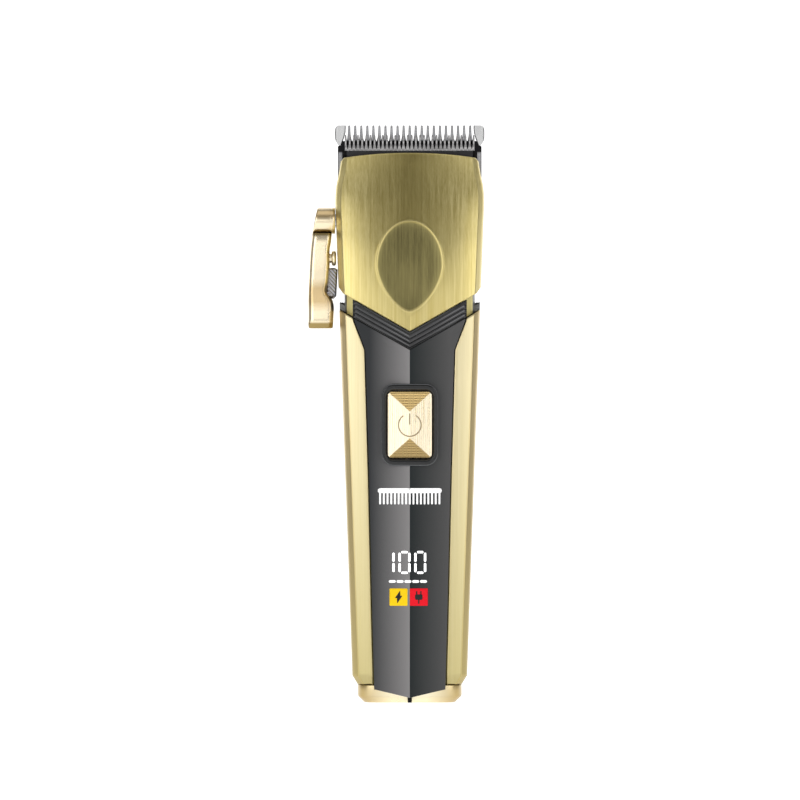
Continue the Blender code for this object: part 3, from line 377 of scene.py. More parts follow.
class Recipe:
    """A material's node tree, with short names for what the finishes need."""

    def __init__(self, name: str) -> None:
        """Start with a Principled shader and Object coordinates."""
        self.material = bpy.data.materials.new(name)
        self.material.use_nodes = True
        self.tree = self.material.node_tree
        self.shader = self.tree.nodes["Principled BSDF"]
        self.place = self.tree.nodes.new("ShaderNodeTexCoord").outputs["Object"]

    def set(self, **numbers: object) -> Recipe:
        """Set the shader's own sockets, with underscores for spaces in their names."""
        for key, number in numbers.items():
            self.shader.inputs[key.replace("_", " ")].default_value = number
        return self

    def noise(self, scale: tuple, detail: float = 3.0, roughness: float = 0.55) -> bpy.types.NodeSocket:
        """Noise stretched by a scale per metre along each axis.

        Args:
            scale: the three scales.
            detail: octaves.
            roughness: how strong the fine octaves are.

        Returns:
            The noise's socket.
        """
        mapping = self.tree.nodes.new("ShaderNodeMapping")
        mapping.inputs["Scale"].default_value = scale
        self.tree.links.new(self.place, mapping.inputs["Vector"])
        noise = self.tree.nodes.new("ShaderNodeTexNoise")
        noise.inputs["Scale"].default_value = 1.0
        noise.inputs["Detail"].default_value = detail
        noise.inputs["Roughness"].default_value = roughness
        self.tree.links.new(mapping.outputs["Vector"], noise.inputs["Vector"])
        return noise.outputs["Fac"]

    def wave(self, scale: tuple, profile: str = "SIN") -> bpy.types.NodeSocket:
        """Straight bands along X of the coordinates scaled by the given scale per metre."""
        mapping = self.tree.nodes.new("ShaderNodeMapping")
        mapping.inputs["Scale"].default_value = scale
        self.tree.links.new(self.place, mapping.inputs["Vector"])
        wave = self.tree.nodes.new("ShaderNodeTexWave")
        wave.wave_profile = profile
        wave.bands_direction = "DIAGONAL"
        wave.inputs["Scale"].default_value = 1.0
        self.tree.links.new(mapping.outputs["Vector"], wave.inputs["Vector"])
        return wave.outputs["Fac"]

    def span(self, source: bpy.types.NodeSocket, low: float, high: float, start: float = 0.3,
             end: float = 0.7) -> bpy.types.NodeSocket:
        """Map a socket's start..end to low..high."""
        node = self.tree.nodes.new("ShaderNodeMapRange")
        node.inputs["From Min"].default_value = start
        node.inputs["From Max"].default_value = end
        node.inputs["To Min"].default_value = low
        node.inputs["To Max"].default_value = high
        self.tree.links.new(source, node.inputs["Value"])
        return node.outputs["Result"]

    def band(self, source: bpy.types.NodeSocket, low: float, high: float,
             soft: float) -> bpy.types.NodeSocket:
        """Rise from 0 to 1 over soft past low, and fall back over soft up to high."""
        return self.math("MULTIPLY", self.span(source, 0.0, 1.0, low, low + soft),
                         self.span(source, 1.0, 0.0, high - soft, high))

    def math(self, operation: str, first: object, second: object = 0.0) -> bpy.types.NodeSocket:
        """One maths node on sockets or numbers."""
        node = self.tree.nodes.new("ShaderNodeMath")
        node.operation = operation
        for item, socket in zip((first, second), node.inputs):
            if isinstance(item, bpy.types.NodeSocket):
                self.tree.links.new(item, socket)
            else:
                socket.default_value = item
        return node.outputs[0]

    def axis(self, name: str) -> bpy.types.NodeSocket:
        """One Object coordinate, in metres."""
        node = self.tree.nodes.new("ShaderNodeSeparateXYZ")
        self.tree.links.new(self.place, node.inputs[0])
        return node.outputs[name]

    def facet(self) -> bpy.types.NodeSocket:
        """The mesh's own number per point."""
        node = self.tree.nodes.new("ShaderNodeAttribute")
        node.attribute_name = "facet"
        return node.outputs["Fac"]

    def blend(self, factor: bpy.types.NodeSocket, first: object, second: object) -> bpy.types.NodeSocket:
        """Mix two colours or colour sockets."""
        node = self.tree.nodes.new("ShaderNodeMix")
        node.data_type = "RGBA"
        self.tree.links.new(factor, node.inputs["Factor"])
        for item, socket in ((first, node.inputs[6]), (second, node.inputs[7])):
            if isinstance(item, bpy.types.NodeSocket):
                self.tree.links.new(item, socket)
            else:
                socket.default_value = (*item, 1.0)
        return node.outputs[2]

    def color(self, source: bpy.types.NodeSocket) -> Recipe:
        """Use a socket as the base colour."""
        self.tree.links.new(source, self.shader.inputs["Base Color"])
        return self

    def rough(self, source: bpy.types.NodeSocket) -> Recipe:
        """Use a socket as the roughness."""
        self.tree.links.new(source, self.shader.inputs["Roughness"])
        return self

    def bump(self, source: bpy.types.NodeSocket, depth: float, strength: float = 1.0) -> Recipe:
        """Raise the surface by a socket times a depth in millimetres."""
        node = self.tree.nodes.new("ShaderNodeBump")
        node.inputs["Strength"].default_value = strength
        node.inputs["Distance"].default_value = depth * MM
        self.tree.links.new(source, node.inputs["Height"])
        self.tree.links.new(node.outputs["Normal"], self.shader.inputs["Normal"])
        return self


@dataclass(frozen=True)
class BrushedGold:
    """Anodised metal brushed along Z, with fine and long streaks.

    Where the centre shade is set, painted shade deepens the tone towards the middle higher up, and the facet
    number is 1 for painted shade in the thumb recess and -1 for painted highlights on its rim and the
    creases. Otherwise it is 1 for painted shade on the flank, 2 for a painted highlight on the ridge beside
    it, and -1 for painted shadow in the recess.
    """

    name: str = "brushed_gold"
    bright: tuple = (0.80, 0.69, 0.33)
    deep: tuple = (0.56, 0.45, 0.15)
    roughness: float = 0.34
    painted_centre_shade: float = 0.0
    fade_from: float = 0.088
    fade_to: float = 0.150
    foot_fade: float = 0.0
    # The two pocket tones are painted shade for the thumb recess.
    pocket: tuple = (0.28, 0.245, 0.10)
    pocket_shade_deep: tuple = (0.16, 0.135, 0.055)
    # Of the next three tones, the first is painted shade on the side facet, the second a painted highlight
    # along the crease, and the third painted shadow in the recess.
    flank_shade: tuple = (0.56, 0.44, 0.22)
    ridge: tuple = (0.86, 0.76, 0.46)
    shadow: tuple = (0.010, 0.010, 0.009)
    foot: tuple = (0.45, 0.42, 0.08)

    def make(self) -> bpy.types.Material:
        """Build the material."""
        recipe = Recipe(self.name)
        fine = recipe.noise((5200.0, 1500.0, 60.0), 4.0, 0.6)
        long = recipe.noise((1500.0, 160.0, 12.0), 3.0, 0.6)
        streak = recipe.math("ADD", recipe.math("MULTIPLY", fine, 0.45), recipe.math("MULTIPLY", long, 0.55))
        tone = recipe.blend(recipe.span(streak, 0.0, 1.0, 0.34, 0.66), self.deep, self.bright)
        # Painted shade: the head cover darkens towards its middle higher up, in place of a dark reflection.
        if self.painted_centre_shade > 0:
            side = recipe.math("ABSOLUTE", recipe.axis("X"))
            near = recipe.span(side, 1.0, 0.0, 0.001, 0.019)
            high = recipe.span(recipe.axis("Z"), 0.0, 1.0, self.fade_from, self.fade_to)
            dark = tuple(channel * (1.0 - self.painted_centre_shade) for channel in self.deep)
            share = recipe.math("MULTIPLY", recipe.math("MULTIPLY", near, high), 0.85)
            tone = recipe.blend(share, tone, dark)
            # Facet 1 paints shade into the thumb recess; facet -1 paints a highlight on its rim and on the
            # creases.
            inside = recipe.span(recipe.facet(), 0.0, 1.0, 0.0, 1.0)
            rim = recipe.span(recipe.facet(), 0.0, 0.5, 0.0, -1.0)
            pocket = recipe.blend(recipe.span(streak, 0.0, 1.0, 0.3, 0.7), self.pocket_shade_deep, self.pocket)
            tone = recipe.blend(inside, tone, pocket)
            tone = recipe.blend(rim, tone, self.bright)
        else:
            # Painted shade on the flank, painted shadow in the recess and a painted highlight on the crease.
            tone = recipe.blend(recipe.span(recipe.facet(), 0.0, 1.0, 0.0, 1.0), tone, self.flank_shade)
            tone = recipe.blend(recipe.span(recipe.facet(), 0.0, 1.0, 0.0, -1.0), tone, self.shadow)
            tone = recipe.blend(recipe.span(recipe.facet(), 0.0, 0.7, 1.1, 2.0), tone, self.ridge)
        foot = recipe.span(recipe.axis("Z"), self.foot_fade, 0.0, 0.004, 0.100)
        tone = recipe.blend(foot, tone, tuple(np.multiply(self.deep, self.foot).tolist()))
        recipe.set(Metallic=1.0, Anisotropic=0.35).color(tone)
        recipe.rough(recipe.span(streak, self.roughness - 0.07, self.roughness + 0.09, 0.3, 0.7))
        return recipe.bump(fine, 0.012, 0.55).material


@dataclass(frozen=True)
class SatinGold:
    """Bead-blasted warm gold, faintly clouded; the side shade is painted shade that deepens it away from the
    middle.
    """

    name: str = "satin_gold"
    bright: tuple = (0.87, 0.74, 0.52)
    deep: tuple = (0.82, 0.68, 0.45)
    roughness: float = 0.27
    side_shade: float = 0.0
    side_shade_tone: tuple = (0.44, 0.31, 0.10)

    def make(self) -> bpy.types.Material:
        """Build the material."""
        recipe = Recipe(self.name)
        bead = recipe.noise((9000.0, 9000.0, 9000.0), 2.0)
        cloud = recipe.noise((140.0, 140.0, 140.0), 1.0)
        tone = recipe.blend(recipe.span(cloud, 0.0, 1.0), self.deep, self.bright)
        if self.side_shade > 0:
            # Painted shade: darker towards the sides, where the rounded cap turns from the light.
            side = recipe.span(recipe.math("ABSOLUTE", recipe.axis("X")), 0.0, self.side_shade, 0.005, 0.0145)
            tone = recipe.blend(side, tone, self.side_shade_tone)
        recipe.set(Metallic=1.0).color(tone)
        recipe.rough(recipe.span(cloud, self.roughness - 0.04, self.roughness + 0.06))
        return recipe.bump(bead, 0.0015, 0.3).material


@dataclass(frozen=True)
class LeverGold:
    """Satin gold of the lever, with painted shade in the crook, on the foot's lip, in the neck and across the
    hub.
    """

    name: str = "satin_gold_lever"
    pale: tuple = (0.87, 0.75, 0.53)
    # Painted shade: the tan and umber tones lie in height bands on the crook, the hub, the neck and the
    # foot's lip.
    tan: tuple = (0.60, 0.45, 0.24)
    umber: tuple = (0.34, 0.25, 0.10)
    crook_shade: tuple = (0.1215, 0.1320, 0.0032)
    hub: tuple = (0.1502, 0.1538, 0.0010)
    neck: tuple = (0.1449, 0.1469, 0.0007)
    lip: tuple = (0.1178, 0.1184)

    def make(self) -> bpy.types.Material:
        """Build the material."""
        recipe = Recipe(self.name)
        height = recipe.axis("Z")
        bead = recipe.noise((9000.0, 9000.0, 9000.0), 2.0)
        haze = recipe.noise((60.0, 60.0, 60.0), 1.0)
        worn = tuple(channel * 0.97 for channel in self.pale)
        tone = recipe.blend(recipe.span(haze, 0.0, 1.0), worn, self.pale)
        # Painted shade bands where the lever's curves turn from the light.
        tone = recipe.blend(recipe.band(height, *self.crook_shade), tone, self.tan)
        tone = recipe.blend(recipe.band(height, *self.hub), tone, self.tan)
        tone = recipe.blend(recipe.span(height, 1.0, 0.0, *self.lip), tone, self.umber)
        tone = recipe.blend(recipe.band(height, *self.neck), tone, self.umber)
        recipe.set(Metallic=1.0).color(tone).rough(recipe.span(haze, 0.25, 0.29))
        return recipe.bump(bead, 0.0012, 0.3).material


@dataclass(frozen=True)
class NeckGold:
    """Satin gold in front, and bare grey metal past a dark line on both sides."""

    name: str = "neck_gold"
    gold: tuple = (0.80, 0.70, 0.29)
    grey: tuple = (0.32, 0.32, 0.30)
    groove: tuple = (0.04, 0.04, 0.035)
    line: float = 0.0196
    groove_width: float = 0.0007

    def make(self) -> bpy.types.Material:
        """Build the material."""
        recipe = Recipe(self.name)
        side = recipe.math("ABSOLUTE", recipe.axis("X"))
        bead = recipe.noise((6000.0, 6000.0, 600.0), 2.0)
        past = recipe.span(side, 0.0, 1.0, self.line, self.line + self.groove_width)
        grey = recipe.blend(past, self.groove, self.grey)
        edge = recipe.span(side, 0.0, 1.0, self.line - 0.0001, self.line)
        recipe.set(Metallic=0.35).color(recipe.blend(edge, self.gold, grey))
        return recipe.rough(recipe.span(bead, 0.28, 0.36)).bump(bead, 0.002, 0.3).material


@dataclass(frozen=True)
class ButtonGold:
    """Pale gold side facets with fine vertical lines; painted shade deepens the gold where the facet number
    is 1, on the end facets, and most on the lower one.
    """

    name: str = "button_gold"
    pale: tuple = (0.93, 0.84, 0.66)
    groove: tuple = (0.82, 0.69, 0.46)
    deep: tuple = (0.66, 0.47, 0.20)

    def make(self) -> bpy.types.Material:
        """Build the material."""
        recipe = Recipe(self.name)
        lines = recipe.noise((4200.0, 60.0, 60.0), 2.0)
        light = recipe.blend(recipe.span(lines, 0.0, 1.0), self.groove, self.pale)
        # Painted shade: the lower end facet is darker than the upper one.
        low = recipe.span(recipe.axis("Z"), 1.0, 0.0, 0.080, 0.084)
        deep = recipe.blend(low, self.deep, tuple(channel * 0.62 for channel in self.deep))
        recipe.color(recipe.blend(recipe.facet(), light, deep)).set(Metallic=1.0)
        recipe.rough(recipe.span(lines, 0.22, 0.34))
        return recipe.bump(lines, 0.006, 0.4).material


@dataclass(frozen=True)
class GlossBlack:
    """Black lacquer under a clear coat, with a faint ripple and fine wiping marks."""

    name: str = "gloss_black"
    base: tuple = (0.030, 0.032, 0.036)
    lift: tuple = (0.055, 0.056, 0.060)
    roughness: float = 0.30
    coat: float = 0.6

    def make(self) -> bpy.types.Material:
        """Build the material."""
        recipe = Recipe(self.name)
        cloud = recipe.noise((180.0, 180.0, 60.0), 2.0)
        marks = recipe.noise((2400.0, 2400.0, 300.0), 3.0)
        recipe.color(recipe.blend(recipe.span(cloud, 0.0, 1.0), self.base, self.lift))
        recipe.set(Coat_Weight=self.coat, Coat_Roughness=0.12, Specular_IOR_Level=0.6)
        recipe.rough(recipe.span(marks, self.roughness - 0.05, self.roughness + 0.07))
        return recipe.bump(cloud, 0.01, 0.3).material


@dataclass(frozen=True)
class PanelLacquer:
    """Smoked lacquer with painted reflections: its tone runs from the middle ridge out, light to dark on -X
    and dark to light on +X.
    """

    name: str = "panel_lacquer"
    # Painted reflection and shade: a light ridge and a dark edge on -X, a dark ridge and a lighter edge on
    # +X.
    painted_left_ridge: tuple = (0.205, 0.198, 0.198)
    painted_left_edge: tuple = (0.018, 0.020, 0.022)
    painted_right_ridge: tuple = (0.003, 0.007, 0.008)
    painted_right_edge: tuple = (0.068, 0.067, 0.067)
    reach: float = 0.0125

    def make(self) -> bpy.types.Material:
        """Build the material."""
        recipe = Recipe(self.name)
        across = recipe.axis("X")
        # Painted reflection: the tone runs from each facet's ridge to its edge.
        share = recipe.span(recipe.math("ABSOLUTE", across), 0.0, 1.0, 0.0, self.reach)
        left = recipe.blend(share, self.painted_left_ridge, self.painted_left_edge)
        right = recipe.blend(share, self.painted_right_ridge, self.painted_right_edge)
        side = recipe.span(across, 0.0, 1.0, -0.00005, 0.00005)
        haze = recipe.noise((900.0, 900.0, 90.0), 2.0)
        recipe.color(recipe.blend(side, left, right))
        recipe.set(Coat_Weight=0.05, Coat_Roughness=0.15, Specular_IOR_Level=0.22)
        return recipe.rough(recipe.span(haze, 0.32, 0.38)).bump(haze, 0.002, 0.2).material


@dataclass(frozen=True)
class FrameLacquer:
    """Deep black lacquer with a paler line, a painted highlight, where the facet number is 1."""

    name: str = "frame_lacquer"
    base: tuple = (0.004, 0.0045, 0.005)
    line: tuple = (0.12, 0.125, 0.13)
    coat: float = 0.25
    shine: float = 0.35

    def make(self) -> bpy.types.Material:
        """Build the material."""
        recipe = Recipe(self.name)
        haze = recipe.noise((700.0, 700.0, 700.0), 2.0)
        recipe.color(recipe.blend(recipe.facet(), self.base, self.line))
        recipe.set(Coat_Weight=self.coat, Coat_Roughness=0.1, Specular_IOR_Level=self.shine)
        return recipe.rough(recipe.span(haze, 0.2, 0.28)).bump(haze, 0.002, 0.2).material


@dataclass(frozen=True)
class Moulded:
    """Moulded plastic or rubber: a spark-eroded grain over a slightly uneven colour."""

    name: str
    base: tuple
    lift: tuple
    roughness: float = 0.5
    grain: float = 0.01
    shine: float = 0.3

    def make(self) -> bpy.types.Material:
        """Build the material."""
        recipe = Recipe(self.name)
        cloud = recipe.noise((220.0, 220.0, 220.0), 3.0)
        grain = recipe.noise((7000.0, 7000.0, 7000.0), 2.0)
        recipe.color(recipe.blend(recipe.span(cloud, 0.0, 1.0), self.base, self.lift))
        recipe.set(Specular_IOR_Level=self.shine)
        recipe.rough(recipe.span(grain, self.roughness - 0.08, self.roughness + 0.08))
        return recipe.bump(grain, self.grain, 0.5).material


@dataclass(frozen=True)
class GroundSteel:
    """Steel with grinding lines: noise stretched along one axis colours it, roughens it and scores it.

    A shadow band, if given, is the height span in metres where painted shadow darkens its front behind the
    cutter.
    """

    name: str
    bright: tuple = (0.74, 0.74, 0.76)
    deep: tuple = (0.42, 0.42, 0.44)
    roughness: float = 0.26
    stretch: tuple = (90.0, 4500.0, 4500.0)
    shadow_band: tuple = ()
    shadow_tone: tuple = (0.012, 0.012, 0.013)

    def make(self) -> bpy.types.Material:
        """Build the material."""
        recipe = Recipe(self.name)
        lines = recipe.noise(self.stretch, 4.0, 0.6)
        cloud = recipe.noise((300.0, 300.0, 300.0), 2.0)
        both = recipe.math("ADD", recipe.math("MULTIPLY", lines, 0.7), recipe.math("MULTIPLY", cloud, 0.3))
        tone = recipe.blend(recipe.span(both, 0.0, 1.0, 0.35, 0.65), self.deep, self.bright)
        if self.shadow_band:
            # Painted shadow on the blade's front, behind the cutter's teeth.
            ahead = recipe.span(recipe.axis("Y"), 1.0, 0.0, 0.0045, 0.0050)
            share = recipe.math("MULTIPLY", recipe.band(recipe.axis("Z"), *self.shadow_band, 0.0006), ahead)
            tone = recipe.blend(share, tone, self.shadow_tone)
        recipe.set(Metallic=1.0).color(tone)
        recipe.rough(recipe.span(lines, self.roughness - 0.06, self.roughness + 0.1))
        return recipe.bump(lines, 0.006, 0.5).material


@dataclass(frozen=True)
class Ink:
    """Printed or lit marking: an even colour with the print's fine tooth, and a glow if it is lit."""

    name: str
    color: tuple
    glow: float = 0.0

    def make(self) -> bpy.types.Material:
        """Build the material."""
        recipe = Recipe(self.name)
        tooth = recipe.noise((5000.0, 5000.0, 5000.0), 2.0)
        dull = tuple(channel * 0.9 for channel in self.color)
        recipe.color(recipe.blend(recipe.span(tooth, 0.0, 1.0), dull, self.color))
        recipe.set(Emission_Color=(*self.color, 1.0), Emission_Strength=self.glow, Specular_IOR_Level=0.15)
        return recipe.rough(recipe.span(tooth, 0.35, 0.5)).material


@dataclass(frozen=True)
class Windings:
    """Enamelled copper turns between dark laminations."""

    name: str = "windings"
    gap: tuple = (0.30, 0.11, 0.04)
    wire: tuple = (0.80, 0.42, 0.22)

    def make(self) -> bpy.types.Material:
        """Build the material."""
        recipe = Recipe(self.name)
        turns = recipe.wave((0.0, 0.0, 9000.0))
        recipe.color(recipe.blend(turns, self.gap, self.wire))
        recipe.set(Metallic=1.0)
        return recipe.rough(recipe.span(turns, 0.25, 0.45, 0.0, 1.0)).bump(turns, 0.05, 0.8).material


@dataclass(frozen=True)
class SolderMask:
    """Green board with paler tracks under the mask."""

    name: str = "solder_mask"
    mask: tuple = (0.012, 0.13, 0.05)
    track: tuple = (0.03, 0.26, 0.10)

    def make(self) -> bpy.types.Material:
        """Build the material."""
        recipe = Recipe(self.name)
        tracks = recipe.wave((2600.0, 0.0, 700.0), "SAW")
        edge = recipe.span(tracks, 0.0, 1.0, 0.44, 0.5)
        recipe.color(recipe.blend(edge, self.mask, self.track))
        return recipe.rough(recipe.span(tracks, 0.3, 0.42, 0.0, 1.0)).bump(edge, 0.02, 0.5).material


class Finishes:
    """Every finish, made once when it is first asked for."""

    def __init__(self) -> None:
        """List the finishes by name."""
        self.recipes = {
            "cover": BrushedGold("brushed_gold_cover", painted_centre_shade=0.55),
            "shell": BrushedGold("brushed_gold_shell", bright=(0.71, 0.63, 0.40), deep=(0.62, 0.54, 0.32),
                                 foot_fade=0.5),
            "satin": SatinGold(),
            "neck": NeckGold(),
            "lever": LeverGold(),
            "ball": SatinGold("satin_gold_ball", (0.95, 0.86, 0.66), (0.91, 0.81, 0.60), 0.36),
            "cap": SatinGold("satin_gold_cap", (0.93, 0.86, 0.64), (0.89, 0.80, 0.57), 0.3, side_shade=0.85),
            "button": ButtonGold(),
            "panel": PanelLacquer(),
            "frame": FrameLacquer(),
            "gloss": GlossBlack("gloss_black"),
            "trim": FrameLacquer("trim_lacquer", line=(0.16, 0.16, 0.165), coat=0.3, shine=0.4),
            "black": Moulded("black_plastic", (0.010, 0.010, 0.011), (0.022, 0.022, 0.024), 0.5),
            "nylon": Moulded("natural_nylon", (0.70, 0.68, 0.60), (0.82, 0.80, 0.73), 0.45),
            "rubber": Moulded("silicone_rubber", (0.02, 0.02, 0.02), (0.04, 0.04, 0.04), 0.75, 0.02),
            "magnet": Moulded("sintered_magnet", (0.05, 0.05, 0.055), (0.09, 0.09, 0.095), 0.6, 0.02),
            "blade": GroundSteel("ground_blade_steel", (0.42, 0.42, 0.43), (0.20, 0.20, 0.21), 0.3,
                                 shadow_band=(0.1712, 0.1757)),
            "polished": GroundSteel("polished_steel", (0.50, 0.50, 0.50), (0.44, 0.44, 0.44), 0.24,
                                    (900.0, 900.0, 60.0)),
            "cutter": GroundSteel("dark_cutter_steel", (0.66, 0.65, 0.65), (0.34, 0.33, 0.33), 0.3),
            "knurl": GroundSteel("knurled_steel", (0.46, 0.46, 0.49), (0.24, 0.24, 0.27), 0.3),
            "dim_steel": GroundSteel("dim_steel", (0.22, 0.22, 0.21), (0.10, 0.10, 0.095), 0.35),
            "lip": Moulded("lip_plastic", (0.003, 0.003, 0.003), (0.006, 0.006, 0.006), 0.5, 0.006, 0.12),
            "bright": GroundSteel("bright_steel", (0.72, 0.72, 0.73), (0.55, 0.55, 0.57), 0.22),
            "bronze": GroundSteel("sintered_bronze", (0.62, 0.42, 0.20), (0.45, 0.30, 0.14), 0.35),
            "windings": Windings(),
            "board": SolderMask(),
            "wrap": Moulded("shrink_sleeve", (0.03, 0.10, 0.30), (0.05, 0.15, 0.38), 0.3, 0.004),
            "red_lead": Moulded("red_insulation", (0.55, 0.02, 0.02), (0.65, 0.04, 0.03), 0.45),
            "black_lead": Moulded("black_insulation", (0.01, 0.01, 0.01), (0.02, 0.02, 0.02), 0.45),
            "white_ink": Ink("white_ink", (0.90, 0.90, 0.90), 0.25),
            "digits": Ink("lit_digits", (1.0, 1.0, 1.0), 0.7),
            "yellow": Ink("lamp_yellow", (0.94, 0.61, 0.002), 0.02),
            "red": Ink("lamp_red", (0.78, 0.004, 0.016), 0.02),
            "black_ink": Ink("black_ink", (0.02, 0.02, 0.02)),
            "symbol": Ink("symbol_line", (0.30, 0.22, 0.11)),
        }
        self.made: dict[str, bpy.types.Material] = {}

    def get(self, name: str) -> bpy.types.Material:
        """The named material."""
        if name not in self.made:
            self.made[name] = self.recipes[name].make()
        return self.made[name]


class Workshop:
    """Hands finished pieces to the frame: material, body and the nodes they stand for."""

    def __init__(self, finishes: Finishes) -> None:
        """Keep the finishes."""
        self.finishes = finishes

    def hand_over(self, piece: bpy.types.Object, finish: str, body: Body, slot: Slot,
                  *nodes: str) -> bpy.types.Object:
        """Dress a piece and place it in the frame.

        Args:
            piece: the finished object.
            finish: the finish's name.
            body: the body it rides on.
            slot: the record's slot it takes; not used.
            nodes: the CAD nodes it replaces.

        Returns:
            The same object.
        """
        piece.data.materials.clear()
        piece.data.materials.append(self.finishes.get(finish))
        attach(piece, body.value)
        if nodes:
            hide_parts(*nodes)
        LOG.info("%s: %d faces, rides on %s", piece.name, len(piece.data.polygons), body.value)
        return piece


# ---------------------------------------------------------------- the clipper's outer form

@dataclass(frozen=True)
class OuterForm:
    """Half widths and depths of the handle and head by height, with a crowned face between two creases."""

    front_power: float = 6.0
    crown_power: float = 3.4
    crease: float = 1.75
    blend: float = 0.3
    back_power: float = 2.8
    head_back_power: float = 4.0
    front: float = 16.5
    crown: float = 1.7
    v_slope: float = 0.567
    handle_widths: tuple = ((5.5, 16.2), (8.3, 17.9), (122.0, 21.9), (135.0, 22.3))
    handle_fronts: tuple = ((5.5, 15.2), (8.3, 16.5), (135.0, 16.5))
    head_widths: tuple = ((110.0, 21.8), (127.0, 22.1), (131.7, 22.3), (147.0, 22.9), (157.3, 23.2),
                          (161.0, 22.9), (164.5, 22.15), (168.6, 21.5), (172.0, 21.3))
    head_fronts: tuple = ((110.0, 16.5), (122.0, 16.5), (131.0, 16.1), (140.0, 15.0), (148.0, 13.0),
                          (157.0, 10.3), (165.0, 7.4), (172.0, 4.8))
    head_backs: tuple = ((120.0, 15.9), (129.0, 15.3), (137.0, 14.2), (144.0, 12.5), (149.6, 8.6))
    base_back: float = 13.9
    palm_bulge: float = 3.1
    palm_span: float = 150.0

    def handle_width(self, height: np.ndarray) -> np.ndarray:
        """Half width of the handle."""
        return line_through(self.handle_widths, height)

    def palm_back(self, height: np.ndarray) -> np.ndarray:
        """Back depth of the handle: a half sine that fills the palm, on a short chamfer."""
        share = (height - self.handle_fronts[1][0]) / self.palm_span
        swell = self.palm_bulge * np.sin(np.pi * np.clip(share, 0.0, 1.0))
        return self.base_back + swell - 1.2 * np.clip(-share * self.palm_span / 2.8, 0.0, 1.0)

    def face_y(self, x: np.ndarray, width: np.ndarray, depth: np.ndarray) -> np.ndarray:
        """The front face's y at a sideways place: it leans back by crown * (|x| / crease's x)^crown_power."""
        return -(depth - self.crown * (np.abs(x) / (width - self.crease)) ** self.crown_power)

    def half_section(self, start: np.ndarray, width: np.ndarray, depth: np.ndarray, rear: float,
                     columns: int) -> tuple:
        """Right half of front sections: the face, a crease, a side facet and a rounded side back to the seam.

        Args:
            start: x where the face starts, of shape (rows, 1).
            width: half widths.
            depth: front depths.
            rear: y of the seam.
            columns: points across the face.

        Returns:
            x and y of shape (rows, points).
        """
        edge = width - self.crease
        face_x = start + (edge - self.blend - start) * np.linspace(0.0, 1.0, columns)[None, :]
        face_y = self.face_y(face_x, width, depth)
        crease_y = self.face_y(edge, width, depth)
        scale = np.clip((depth + rear) / 20.0, 0.3, 1.0)
        corners = [(face_x[:, -1:], face_y[:, -1:]), (edge, crease_y),
                   (width - 0.28, crease_y + 3.3 * scale), (width, crease_y + 6.6 * scale), (width, rear)]
        side_x, side_y = rounded_path(corners, (self.blend, 1.0 * scale, 1.2 * scale), (1, 5, 4, 10))
        return (np.concatenate([face_x, side_x[:, 1:]], axis=1),
                np.concatenate([face_y, side_y[:, 1:]], axis=1))

    @staticmethod
    def own_column(sections: np.ndarray, shape: tuple) -> np.ndarray:
        """From a section made at every point of a grid, keep the one value that is in the point's own column.

        Args:
            sections: array of shape (rows * columns, columns), a section per grid point.
            shape: the grid's (rows, columns).

        Returns:
            Array of the grid's shape.
        """
        column = np.tile(np.arange(shape[1]), shape[0])
        return sections[np.arange(len(sections)), column].reshape(shape)


